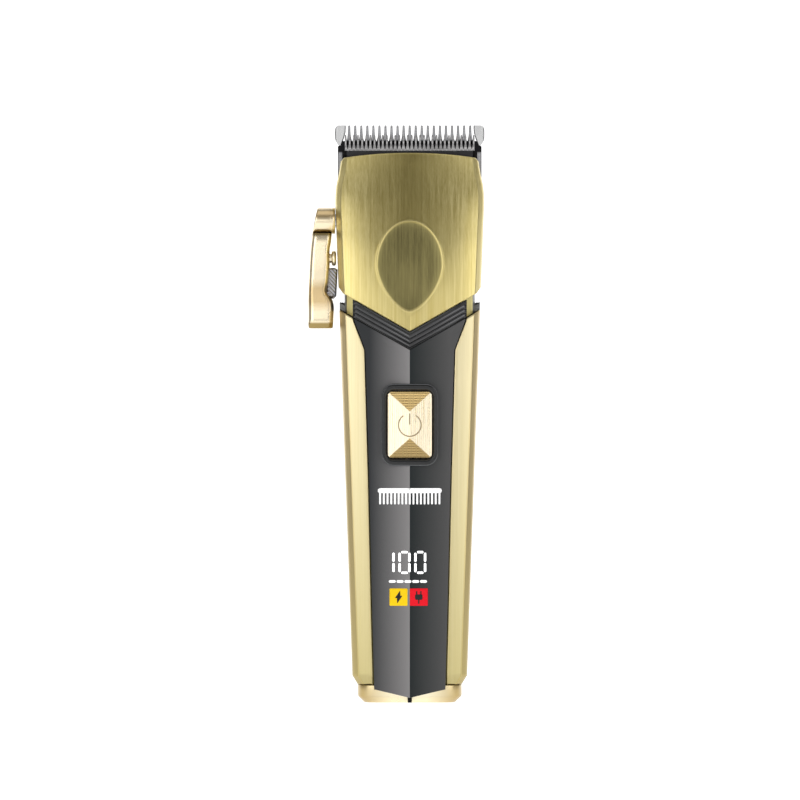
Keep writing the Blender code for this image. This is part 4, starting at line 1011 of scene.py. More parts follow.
@dataclass
class HeadCover:
    """Front head cover with the egg-shaped thumb recess, and the rear head cover."""

    form: OuterForm
    seam_low: float = 115.3
    arch_top: float = 171.1
    arch_drop: float = 1.6
    rear_edge: float = 3.6
    wall: float = 1.05
    egg_centre: float = 135.8
    egg_half: float = 10.2
    egg_up: float = 13.7
    egg_down: float = 14.2
    egg_depth: float = 0.85

    def egg_share(self, x: np.ndarray, z: np.ndarray) -> np.ndarray:
        """Distance from the egg's centre over its edge's distance that way.

        The upper edge is an ellipse and the lower one a superellipse of power 1.62, which points it.
        """
        rise = z - self.egg_centre
        reach = np.where(rise >= 0, self.egg_up, self.egg_down)
        power = np.where(rise >= 0, 2.05, 1.62)
        return ((np.abs(x) / self.egg_half) ** power + (np.abs(rise) / reach) ** power) ** (1.0 / power)

    def cover_points(self) -> tuple[np.ndarray, np.ndarray]:
        """Grid of the cover, up from the V seam to the arched edge.

        The seam and the edge depend on x, and x on the height, so a few rounds settle both.

        Returns:
            The points, and their tone: 1 for painted shade in the egg, -1 for painted highlights on its rim
                and on the creases.
        """
        share = np.linspace(0.0, 1.0, 232)[:, None]
        columns = 112
        low, high = np.full((1, 1), 125.0), np.full((1, 1), 170.0)
        for _ in range(5):
            x_low = self.half(low[:, -1:], columns)[0]
            x_high = self.half(high[:, -1:], columns)[0]
            low = (self.seam_low + self.form.v_slope * x_low
                   + 1.2 * np.clip((x_low - 20.8) / 1.3, 0.0, 1.0))
            high = (self.arch_top - self.arch_drop * (x_high / 21.3) ** 2
                    - 0.9 * np.clip((x_high - 20.2) / 1.1, 0.0, 1.0) ** 2)
        z = low + (high - low) * share
        x, y = (self.form.own_column(side, z.shape) for side in self.half(z.reshape(-1, 1), columns))
        x = np.concatenate([-x[:, :0:-1], x], axis=1)
        y = np.concatenate([y[:, :0:-1], y], axis=1)
        z = np.concatenate([z[:, :0:-1], z], axis=1)
        egg = self.egg_share(x, z)
        ahead = (np.abs(x) < 20.0).astype(float)
        dish = self.egg_depth * np.clip(1.0 - egg ** 3.2, 0.0, 1.0) ** 0.8
        lip = 0.07 * np.exp(-((egg - 1.025) / 0.022) ** 2)
        outside = smoothstep(1.0, 1.12, egg)
        valley = np.exp(-np.abs(x) / 1.3) * (0.10 + 0.16 * smoothstep(124.0, 119.0, z)) * outside
        roll = 0.12 * (1.0 - smoothstep(0.0, 0.3, np.minimum(z - z[:1], z[-1:] - z)))
        y = y + (dish - lip + valley) * ahead + roll
        crease = curve_through(self.form.head_widths, z) - self.form.crease - np.abs(x)
        # Painted highlights along the egg's rim and the creases; inside the egg the tone marks painted shade.
        bright = 0.8 * np.exp(-((egg - 1.018) / 0.016) ** 2) + 0.8 * np.exp(-(crease / 0.22) ** 2)
        return np.stack([x, y, z], axis=-1), smoothstep(1.0, 0.955, egg) - np.clip(bright, 0.0, 1.0)

    def half(self, z: np.ndarray, columns: int) -> tuple:
        """Right half of the cover's section at heights of shape (rows, 1)."""
        return self.form.half_section(np.zeros_like(z), curve_through(self.form.head_widths, z),
                                      curve_through(self.form.head_fronts, z), self.rear_edge, columns)

    def back_points(self) -> np.ndarray:
        """Grid of the rear cover: up its leaning back, over a rounded edge, and over its roof to the seam."""
        turn = np.radians(np.linspace(90.0, 270.0, 181))[None, :]
        rise = np.concatenate([np.linspace(129.3, 148.0, 60), np.linspace(148.0, 149.6, 10)[1:]])[:, None]
        side, ahead = squircle(turn, self.form.head_back_power)
        width = curve_through(self.form.head_widths, rise) - 0.5 * smoothstep(148.6, 149.6, rise)
        depth = curve_through(self.form.head_backs, rise)
        x = width * side
        y = np.maximum(-depth * ahead, 3.9)
        points = np.stack(np.broadcast_arrays(x, y, rise + 0.0 * turn), axis=-1)
        roof = np.repeat(points[-1:], 5, axis=0)
        roof[:, :, 1] = 3.9 + (points[-1:, :, 1] - 3.9) * np.linspace(0.94, 0.0, 5)[:, None]
        return np.concatenate([points, roof], axis=0)

    def build(self, shop: Workshop) -> None:
        """Make both covers."""
        points, tone = self.cover_points()
        cover = MeshBuilder().grid(points, value=tone).build("head_cover_shell", (0.0, 3.0, 145.0), 50.0)
        shop.hand_over(thicken(cover, self.wall), "cover", Body.HANDLE, Slot.GOLD_BRUSHED, "head_cover")
        back = MeshBuilder().grid(self.back_points()).build("head_back_shell", (0.0, 0.0, 138.0), 50.0)
        shop.hand_over(thicken(back, self.wall), "shell", Body.HANDLE, Slot.GOLD_BRUSHED, "head_back")


@dataclass
class FrontPanel:
    """Black panel: two hollow facets that fall from a middle ridge by (1 - |x| / reach)^1.5."""

    form: OuterForm
    outline: tuple = ((1.0, 11.0), (4.3, 11.05), (25.5, 11.65), (72.3, 12.75), (109.4, 13.85), (110.4, 14.15),
                      (118.9, 17.3), (122.0, 17.3))
    foot: float = 1.75
    foot_slope: float = 0.231
    top: float = 109.4
    edge: float = 16.1
    rise: float = 2.4
    reach: float = 17.6
    hollow: float = 1.5
    back: float = 14.6
    corner: float = 0.3

    def half_width(self, height: np.ndarray) -> np.ndarray:
        """Half width of the panel at a height."""
        return line_through(self.outline, height)

    def face(self, x: np.ndarray) -> np.ndarray:
        """The panel's y at a sideways place."""
        return -(self.edge + self.rise * np.clip(1.0 - np.abs(x) / self.reach, 0.0, 1.0) ** self.hollow)

    def points(self, bezel: PowerSwitch) -> np.ndarray:
        """Grid of the panel with rounded edges, skirts to its back, and a pocket under the button's frame."""
        quarter = np.linspace(0.0, math.pi / 2, 5)[1:]
        inner = np.linspace(-1.0, 1.0, 161)[None, :]
        share = np.linspace(0.0, 1.0, 420)[:, None]
        x = inner * 12.0 + 0.0 * share
        for _ in range(6):
            low = self.foot + self.foot_slope * np.abs(x)
            high = self.top + self.form.v_slope * np.abs(x)
            z = low + (high - low) * share
            x = inner * (self.half_width(z) - self.corner)
        y = self.face(x)
        past_x = np.maximum(np.abs(x) - (bezel.frame[0] / 2 - 3.9), 0.0)
        past_z = np.maximum(np.abs(z - bezel.centre) - (bezel.frame[1] / 2 - 3.9), 0.0)
        pocket = np.hypot(past_x, past_z) < 3.45
        y = np.where(pocket, -15.2, y)
        middle = np.stack([x, y, z], axis=-1)

        def skirt(edge: np.ndarray, sign: float) -> np.ndarray:
            """Columns that round an edge over and run back."""
            columns = []
            for bend in quarter:
                column = edge.copy()
                column[:, 0] += sign * self.corner * math.sin(bend)
                column[:, 1] += self.corner * (1 - math.cos(bend))
                columns.append(column)
            last = columns[-1].copy()
            last[:, 1] = -self.back
            return np.stack(columns + [last], axis=1)

        full = np.concatenate([skirt(middle[:, 0], -1.0)[:, ::-1], middle, skirt(middle[:, -1], 1.0)], axis=1)
        rows = [np.repeat(full[:1], 2, axis=0), np.repeat(full[-1:], 2, axis=0)]
        for row, sign in zip(rows, (-1.0, 1.0)):
            row[:, :, 1] = np.minimum(row[:, :, 1] + 0.12, -self.back)
            row[:, :, 2] += sign * 0.08
        rows[0][0, :, 1] = -self.back
        rows[1][1, :, 1] = -self.back
        return np.concatenate([rows[0], full, rows[1]], axis=0)

    def build(self, shop: Workshop, bezel: PowerSwitch) -> None:
        """Make the panel."""
        panel = MeshBuilder().grid(self.points(bezel)).build("front_panel_face", (0.0, 20.0, 60.0), 8.0)
        shop.hand_over(panel, "panel", Body.HANDLE, Slot.PANEL, "front_panel")


@dataclass
class HandleShells:
    """Front and rear shells of the handle."""

    form: OuterForm
    panel: FrontPanel
    low: float = 5.5
    chamfer: float = 8.3
    level_top: float = 96.0
    seam_top: float = 109.5
    rear_top: float = 122.3
    gap: float = 0.3
    floor: float = 14.3
    wall: float = 0.95
    screw_places: tuple = ((-13.0, 16.0, 6.6), (13.0, 16.0, 6.6), (-13.0, 105.5, 10.6), (13.0, 105.5, 10.6))

    def front_points(self) -> tuple[np.ndarray, np.ndarray]:
        """Right half of the front shell, from the recess's middle over its wall and round to the side seam.

        Returns:
            The points, and their tone: -1 for painted shadow in the recess, 0 on the face, 1 for painted
                shade on the flank, 2 for a painted highlight on the crease.
        """
        rows = np.concatenate([np.linspace(self.low, self.chamfer, 7)[:-1],
                               np.linspace(self.chamfer, self.level_top, 120)])
        columns = 30
        level = rows[:, None]
        probe = np.full((1, 1), 119.5)
        x_top = self.form.half_section(self.panel.half_width(probe) + self.gap, self.form.handle_width(probe),
                                       np.full((1, 1), self.form.front), -0.15, columns)[0]
        top = self.seam_top + self.form.v_slope * x_top
        share = np.linspace(0.0, 1.0, 90)[1:, None]
        z = np.concatenate([level + 0.0 * x_top, self.level_top + (top - self.level_top) * share], axis=0)
        height = z.reshape(-1, 1)
        section = self.form.half_section(
            self.panel.half_width(height) + self.gap, self.form.handle_width(height),
            line_through(self.form.handle_fronts, height), -0.15, columns)
        x, y = (self.form.own_column(side, z.shape) for side in section)
        top_edge = 0.3 * (1.0 - smoothstep(0.0, 0.4, top - z))
        inner_edge = 0.15 * (1.0 - smoothstep(0.0, 0.25, x - x[:, :1]))
        y = y + top_edge + inner_edge
        outer = np.stack([x, y, z], axis=-1)
        inner = []
        for step in (1.0, 0.5, 0.02):
            column = outer[:, 0].copy()
            column[:, 0] -= 0.12 * step
            column[:, 1] = -self.floor + (column[:, 1] + self.floor) * (1.0 - step)
            inner.append(column)
        floor = [inner[0].copy() for _ in range(2)]
        floor[0][:, 0] *= 0.0
        floor[1][:, 0] *= 0.6
        for column in floor:
            column[:, 2] = np.minimum(column[:, 2], self.seam_top + self.form.v_slope * column[:, 0])
        points = np.concatenate([np.stack(floor + inner, axis=1), outer], axis=1)
        inset = x - x[:, :1]
        # Painted shade beside the panel's edge and on the side facet, and a painted highlight along the
        # crease.
        tone = 0.22 * (1.0 - smoothstep(0.1, 1.4, inset))
        crease = self.form.handle_width(z) - self.form.crease
        tone = np.maximum(tone, smoothstep(-0.15, 0.2, x - crease) * smoothstep(-2.5, -8.0, y))
        tone = np.maximum(tone, 2.0 * np.exp(-((x - crease + 0.15) / 0.2) ** 2))
        # The recess's floor and wall take -1, which paints them as shadow.
        return points, np.concatenate([np.full((len(tone), 5), -1.0), tone], axis=1)

    def front_shell(self, bezel: PowerSwitch) -> bpy.types.Object:
        """The front shell: the right half and its mirror image, open behind the button."""
        right, tone = self.front_points()
        left = right * np.array([-1.0, 1.0, 1.0])
        builder = MeshBuilder()
        height = right[:-1, 0, 2]
        hidden = np.abs(height - bezel.centre) < bezel.frame[1] / 2 - 1.0
        for half, shade in ((right, tone), (left[:, ::-1], tone[:, ::-1])):
            keep = np.ones((half.shape[0] - 1, half.shape[1] - 1), dtype=bool)
            floor = slice(0, 2) if half is right else slice(-2, None)
            keep[hidden, floor] = False
            builder.grid(half, keep=keep, value=shade)
        return builder.build("front_housing_shell", (0.0, 4.0, 60.0), 35.0)

    def rear_shell(self) -> bpy.types.Object:
        """The rear shell, with a counterbore at each screw."""
        rise = np.concatenate([np.linspace(self.low, self.chamfer, 7)[:-1],
                               np.linspace(self.chamfer, self.rear_top, 130)])[:, None]
        turn = np.radians(np.linspace(90.0, 270.0, 161))[None, :]
        side, ahead = squircle(turn, self.form.back_power)
        x = self.form.handle_width(rise) * side
        y = np.maximum(-self.form.palm_back(rise) * ahead, 0.15)
        shell = MeshBuilder().grid(np.stack(np.broadcast_arrays(x, y, rise + 0.0 * turn), axis=-1))
        piece = thicken(shell.build("rear_housing_shell", (0.0, 0.0, 64.0), 35.0), self.wall)
        posts = MeshBuilder()
        for place_x, place_z, seat in self.screw_places:
            rings = round_bar((place_x, 0.0, place_z), 1, seat - 0.2, 26.0, 2.2, sides=36)
            posts.grid(rings, wrap=True, cap=True)
        return carve(piece, [posts.build("screw_holes")])

    def screw_cups(self) -> bpy.types.Object:
        """The counterbored posts behind the shell's holes, as turned cups round each screw's head."""
        builder = MeshBuilder()
        turn = np.linspace(0.0, 2 * math.pi, 32, endpoint=False)
        for place_x, place_z, seat in self.screw_places:
            radius = np.array([1.15, 2.2, 2.2, 2.6, 2.6, 1.15])[:, None]
            along = np.array([seat, seat, seat + 2.2, seat + 2.2, 0.6, 0.6])[:, None]
            rings = np.stack(np.broadcast_arrays(place_x + radius * np.cos(turn), along + 0.0 * turn,
                                                 place_z + radius * np.sin(turn)), axis=-1)
            builder.grid(np.concatenate([rings, rings[:1]], axis=0), wrap=True)
        return builder.build("rear_housing_posts")

    def build(self, shop: Workshop, bezel: PowerSwitch) -> None:
        """Make both shells."""
        front = thicken(self.front_shell(bezel), self.wall)
        shop.hand_over(front, "shell", Body.HANDLE, Slot.GOLD_BRUSHED, "front_housing")
        shop.hand_over(self.rear_shell(), "shell", Body.HANDLE, Slot.GOLD_BRUSHED, "rear_housing")
        shop.hand_over(self.screw_cups(), "shell", Body.HANDLE, Slot.GOLD_BRUSHED)


@dataclass
class SeamTrim:
    """Ribbed black V between the handle and the head cover."""

    form: OuterForm
    low: float = 109.8
    high: float = 114.95
    half: float = 17.45
    proud: float = 0.25
    ribs: int = 3
    border: float = 0.11
    rib_height: float = 0.42
    back: float = 1.9

    def points(self) -> tuple[np.ndarray, np.ndarray]:
        """Grid across the band (rows) and along both arms (columns), with ribs as rounded waves and a skirt.

        Returns:
            The points, and their tone: 0 on the border and in the grooves, a little painted sheen on the
                ribs, and a painted highlight on the crests, near the middle on the left and further out on
                the right.
        """
        across = np.linspace(0.0, 1.0, 81)[:, None]
        along = np.linspace(-1.0, 1.0, 141)[None, :]
        x = along * self.half
        fall = 0.8 * np.clip((np.abs(x) - (self.half - 1.2)) / 1.2, 0.0, 1.0) ** 2
        z = self.low + (self.high - fall - self.low) * across + self.form.v_slope * np.abs(x)
        ribbed = np.clip((across - 0.04) / (1.0 - self.border - 0.04), 0.0, 1.0)
        wave = np.abs(np.sin(np.pi * self.ribs * ribbed)) ** 0.5
        # Painted highlight: where the crests catch light, near the middle on the left and further out on the
        # right.
        worn = np.where(along < 0, smoothstep(-0.75, -0.05, along), smoothstep(0.3, 0.85, along))
        tone = 0.16 * smoothstep(0.1, 0.7, wave) + 0.6 * smoothstep(0.95, 0.995, wave) * worn
        rim = smoothstep(0.0, 0.05, across) * smoothstep(1.0, 0.95, across)
        side = smoothstep(1.0, 0.965, np.abs(along))
        face = self.form.face_y(x, 21.8, self.form.front)
        y = face - self.proud * rim * side - self.rib_height * (wave - 0.6) * rim * side
        grid = np.stack(np.broadcast_arrays(x + 0.0 * across, y, z), axis=-1)
        back = (face + self.back)[0]
        rows = [grid[:1].copy(), grid[-1:].copy()]
        for row in rows:
            row[0, :, 1] = back
        grid = np.concatenate([rows[0], grid, rows[1]], axis=0)
        columns = [grid[:, :1].copy(), grid[:, -1:].copy()]
        for column in columns:
            column[:, 0, 1] = back[0]
        return np.concatenate([columns[0], grid, columns[1]], axis=1), np.pad(tone * side, 1)

    def backing(self) -> np.ndarray:
        """Grid of the dark sheet that paints the shadow in the gaps beside the ribs."""
        across = np.linspace(0.0, 1.0, 9)[:, None]
        x = np.linspace(-1.0, 1.0, 121)[None, :] * (self.half + 0.25)
        z = self.low - 0.24 + (self.high - self.low + 0.5) * across + self.form.v_slope * np.abs(x)
        y = self.form.face_y(x, 21.8, self.form.front) + 0.75 + 0.0 * across
        return np.stack(np.broadcast_arrays(x + 0.0 * across, y, z), axis=-1)

    def build(self, shop: Workshop) -> None:
        """Make the trim and the dark sheet that paints the shadow in its gaps."""
        # Painted shadow: a dark sheet behind the trim, seen in the gaps at its edges.
        gap_shadow_sheet = MeshBuilder().grid(self.backing()).build("chevron_gap_shadow", (0.0, 10.0, 116.0), 60.0)
        shop.hand_over(thicken(gap_shadow_sheet, 0.3), "rubber", Body.HANDLE, Slot.BLACK)
        points, tone = self.points()
        trim = MeshBuilder().grid(points, value=tone).build("chevron_trim_ribs", (0.0, 10.0, 116.0), 40.0)
        shop.hand_over(trim, "trim", Body.HANDLE, Slot.PANEL, "chevron_trim")


@dataclass
class PowerSwitch:
    """Power button with a faceted face, its engraved symbol and the black frame round it."""

    centre: float = 86.3
    size: tuple = (14.1, 21.0)
    corner: float = 2.2
    frame: tuple = (17.6, 25.5)
    hole: tuple = (14.7, 21.6)
    rim: float = 18.3
    rise: float = 1.16
    ridge: float = 4.15
    symbol_radius: float = 3.5
    symbol_line: float = 0.17

    def face(self, x: np.ndarray, z: np.ndarray) -> np.ndarray:
        """The button's y: a hipped roof, the lower of the side slope and the end slope."""
        side = self.rise * (1.0 - np.abs(x) / (self.size[0] / 2))
        end = self.rise * (self.size[1] / 2 - np.abs(z - self.centre)) / (self.size[1] / 2 - self.ridge)
        return -(self.rim + np.clip(np.minimum(side, end), 0.0, None))

    def button_body(self) -> bpy.types.Object:
        """The button: its face grid with ribbed ends, pulled in at round corners, and walls to its back."""
        half_x, half_z = self.size[0] / 2, self.size[1] / 2
        across = np.linspace(-1.0, 1.0, 101)[None, :]
        up = np.linspace(-1.0, 1.0, 161)[:, None]
        x, z = np.broadcast_arrays(across * half_x, up * half_z)
        over_x = np.maximum(np.abs(x) - (half_x - self.corner), 0.0)
        over_z = np.maximum(np.abs(z) - (half_z - self.corner), 0.0)
        reach = np.maximum(np.hypot(over_x, over_z), 1e-9)
        square = np.maximum(over_x, over_z)
        pull = np.where((over_x > 0) & (over_z > 0), square / reach, 1.0)
        x = np.sign(x) * (np.minimum(np.abs(x), half_x - self.corner) + over_x * pull)
        z = np.sign(z) * (np.minimum(np.abs(z), half_z - self.corner) + over_z * pull)
        end_slope = (half_z - np.abs(z)) / (half_z - self.ridge)
        facet = smoothstep(-0.015, 0.015, (1.0 - np.abs(x) / half_x) - end_slope)
        border = np.minimum(half_x - np.abs(x), half_z - np.abs(z))
        inside = smoothstep(0.05, 0.5, border)
        ribs = 0.055 * facet * inside * np.sin(2 * np.pi * z / 0.78)
        lines = 0.012 * (1.0 - facet) * inside * np.sin(2 * np.pi * x / 0.62)
        edge = 0.28 * (1.0 - smoothstep(0.0, 0.35, border))
        y = self.face(x, z + self.centre) - ribs - lines + edge
        top = np.stack([x, y, z + self.centre], axis=-1)
        ring = np.concatenate([top[0], top[1:, -1], top[-1, -2::-1], top[-2:0:-1, 0]])
        wall = np.stack([ring, ring], axis=0)
        wall[1, :, 1] = -15.0
        base = top.copy()
        base[:, :, 1] = -15.0
        builder = MeshBuilder().grid(top, value=facet).grid(wall, wrap=True).grid(base[::16, ::10])
        stem = round_bar((0.0, 0.0, self.centre), 1, -15.2, -12.55, 1.5, sides=24)
        return builder.grid(stem, wrap=True, cap=True).build("power_button_cap", smooth=12.0)

    def frame_ring(self) -> bpy.types.Object:
        """The frame: a rounded profile carried round the hole's outline and closed on itself."""
        profile = ((0.0, -13.7), (0.0, -18.2), (0.05, -18.75), (0.2, -19.0), (0.42, -19.1), (0.9, -19.1),
                   (1.16, -19.02), (1.34, -18.82), (1.45, -18.5), (1.45, -13.7))
        grow_z = (self.frame[1] - self.hole[1]) / (self.frame[0] - self.hole[0])
        rings = []
        values = []
        for out, y in profile:
            # Facet 1 marks a painted highlight line on the frame's outer rim.
            values.append([1.0 if 1.3 < out < 1.4 else 0.0])
            width, height = self.hole[0] + 2 * out, self.hole[1] + 2 * out * grow_z
            outline = rounded_outline(width, height, 2.3 + out * 1.1, 14)
            depth = np.full(len(outline), y)
            rings.append(np.stack([outline[:, 0], depth, outline[:, 1] + self.centre], axis=-1))
        rings.append(rings[0])
        values.append(values[0])
        builder = MeshBuilder().grid(np.stack(rings), wrap=True, value=np.array(values))
        return builder.build("button_frame", smooth=40.0)

    def symbol(self) -> bpy.types.Object:
        """The power symbol: an open ring and a bar that follow the face, raised a hair."""
        lift = 0.035
        sweep = np.radians(np.linspace(124.0, 416.0, 97))[None, :]
        band = np.linspace(-1.0, 1.0, 5)[:, None]
        radius = self.symbol_radius + self.symbol_line * band
        x = radius * np.cos(sweep)
        z = self.centre - 0.05 + radius * np.sin(sweep)
        ring = np.stack([x, self.face(x, z) - lift, z], axis=-1)
        bar_x = (self.symbol_line * band) + 0.0 * sweep[:, :20]
        bar_z = np.linspace(self.centre + 0.1, self.centre + 3.5, 20)[None, :] + 0.0 * band
        bar = np.stack([bar_x, self.face(bar_x, bar_z) - lift, bar_z], axis=-1)
        mark = MeshBuilder().grid(ring).grid(bar).build("power_symbol", (0.0, 0.0, self.centre), 60.0)
        return thicken(mark, 0.05)

    def build(self, shop: Workshop) -> None:
        """Make the button, its symbol and its frame."""
        shop.hand_over(self.button_body(), "button", Body.BUTTON, Slot.GOLD_SATIN, "power_button")
        shop.hand_over(self.symbol(), "symbol", Body.BUTTON, Slot.GOLD_SATIN)
        shop.hand_over(self.frame_ring(), "frame", Body.HANDLE, Slot.PANEL, "button_bezel")


@dataclass
class PanelMarks:
    """Lit digits, gauge bars, two lamp tiles with pictograms, and a plain comb emblem on the panel."""

    panel: FrontPanel
    digit_low: float = 40.1
    digit_high: float = 47.2
    bar_half: float = 0.36
    comb_half: float = 9.2
    comb_spine: float = 65.9
    comb_teeth: int = 17
    comb_lift: float = 0.05
    lift: float = 0.03

    def patch(self, builder: MeshBuilder, outline: np.ndarray, lift: float | None = None) -> None:
        """Lay a flat convex outline on the panel as a fan of rings shrinking to its middle.

        Args:
            builder: where the patch goes.
            outline: points of shape (n, 2), x and z.
            lift: how far it stands off the panel.
        """
        centre = outline.mean(axis=0)
        shares = np.linspace(1.0, 0.0, 7)[:, None, None]
        flat = centre + (outline[None] - centre) * shares
        y = self.panel.face(flat[..., 0]) - (self.lift if lift is None else lift)
        builder.grid(np.stack([flat[..., 0], y, flat[..., 1]], axis=-1), wrap=True)

    def bar(self, start: tuple, end: tuple, half: float) -> np.ndarray:
        """Outline of a bar with round ends."""
        start, end = np.array(start), np.array(end)
        run = (end - start) / np.linalg.norm(end - start)
        heading = math.atan2(run[1], run[0])
        sweep = np.linspace(-math.pi / 2, math.pi / 2, 9)
        ahead = end + half * np.stack([np.cos(heading + sweep), np.sin(heading + sweep)], axis=1)
        behind = start - half * np.stack([np.cos(heading + sweep), np.sin(heading + sweep)], axis=1)
        return np.concatenate([ahead, behind])

    def digits(self) -> MeshBuilder:
        """The lit number: seven-segment figures made of round-ended bars."""
        builder = MeshBuilder()
        middle = (self.digit_low + self.digit_high) / 2
        half = self.bar_half

        def upright(x: float) -> None:
            """Two bars, one above the other."""
            for low, high in ((self.digit_low + 0.9, middle - 0.55), (middle + 0.55, self.digit_high - 0.9)):
                self.patch(builder, self.bar((x, low), (x, high), half))

        def level(left: float, right: float, z: float) -> None:
            """One bar along the top or the foot of a figure."""
            self.patch(builder, self.bar((left + 0.85, z), (right - 0.85, z), half))

        upright(-5.05)
        for left, right in ((-3.15, -0.12), (1.75, 4.75)):
            upright(left)
            upright(right)
            level(left, right, self.digit_low + half)
            level(left, right, self.digit_high - half)
        return builder

    def emblem(self) -> MeshBuilder:
        """A plain comb: a spine in two halves that meet on the ridge, and round-ended teeth."""
        builder = MeshBuilder()
        half, spine = self.comb_half, self.comb_spine
        for side in (-half, half):
            ends = sorted((side, 0.0))
            self.patch(builder, self.bar((ends[0], spine), (ends[1], spine), 0.75), self.comb_lift)
        for x in np.linspace(-half, half, self.comb_teeth):
            self.patch(builder, self.bar((x, spine - 4.0), (x, spine - 0.3), 0.28))
        return builder

    def gauge(self) -> MeshBuilder:
        """Five short bars that stand for the charge left."""
        builder = MeshBuilder()
        for step in range(5):
            left = -6.1 + step * 2.42
            self.patch(builder, self.bar((left, 37.75), (left + 1.35, 37.75), 0.42))
        return builder

    def tile(self, left: float, right: float) -> MeshBuilder:
        """A square lamp tile."""
        builder = MeshBuilder()
        outline = rounded_outline(right - left, 5.4, 0.25, 5) + np.array([(left + right) / 2, 32.9])
        self.patch(builder, outline)
        return builder

    def pictograms(self) -> MeshBuilder:
        """A lightning bolt on one tile, and a plug on the other."""
        builder = MeshBuilder()
        above = self.lift + 0.05
        self.patch(builder, np.array([(-3.0, 35.0), (-4.6, 32.6), (-3.4, 32.6), (-2.9, 33.1)]), above)
        self.patch(builder, np.array([(-3.9, 30.9), (-2.3, 33.3), (-3.5, 33.3), (-4.0, 32.8)]), above)
        self.patch(builder, rounded_outline(2.3, 1.7, 0.4, 4) + np.array([2.8, 32.9]), above)
        for x in (2.15, 3.45):
            self.patch(builder, self.bar((x, 33.7), (x, 34.6), 0.2), above)
        self.patch(builder, self.bar((2.8, 31.0), (2.8, 32.2), 0.2), above)
        return builder

    def build(self, shop: Workshop) -> None:
        """Make every marking."""
        front = (0.0, 20.0, 50.0)
        marks = (("display_digits", self.digits(), "digits", Slot.PANEL),
                 ("comb_emblem", self.emblem(), "white_ink", Slot.PANEL),
                 ("charge_gauge", self.gauge(), "white_ink", Slot.PANEL),
                 ("tile_yellow", self.tile(-6.3, -0.7), "yellow", Slot.LAMP_YELLOW),
                 ("tile_red", self.tile(0.0, 5.6), "red", Slot.LAMP_RED),
                 ("tile_pictograms", self.pictograms(), "black_ink", Slot.PANEL))
        for name, builder, finish, slot in marks:
            piece = thicken(builder.build(name, front, 60.0), 0.06)
            shop.hand_over(piece, finish, Body.HANDLE, slot)


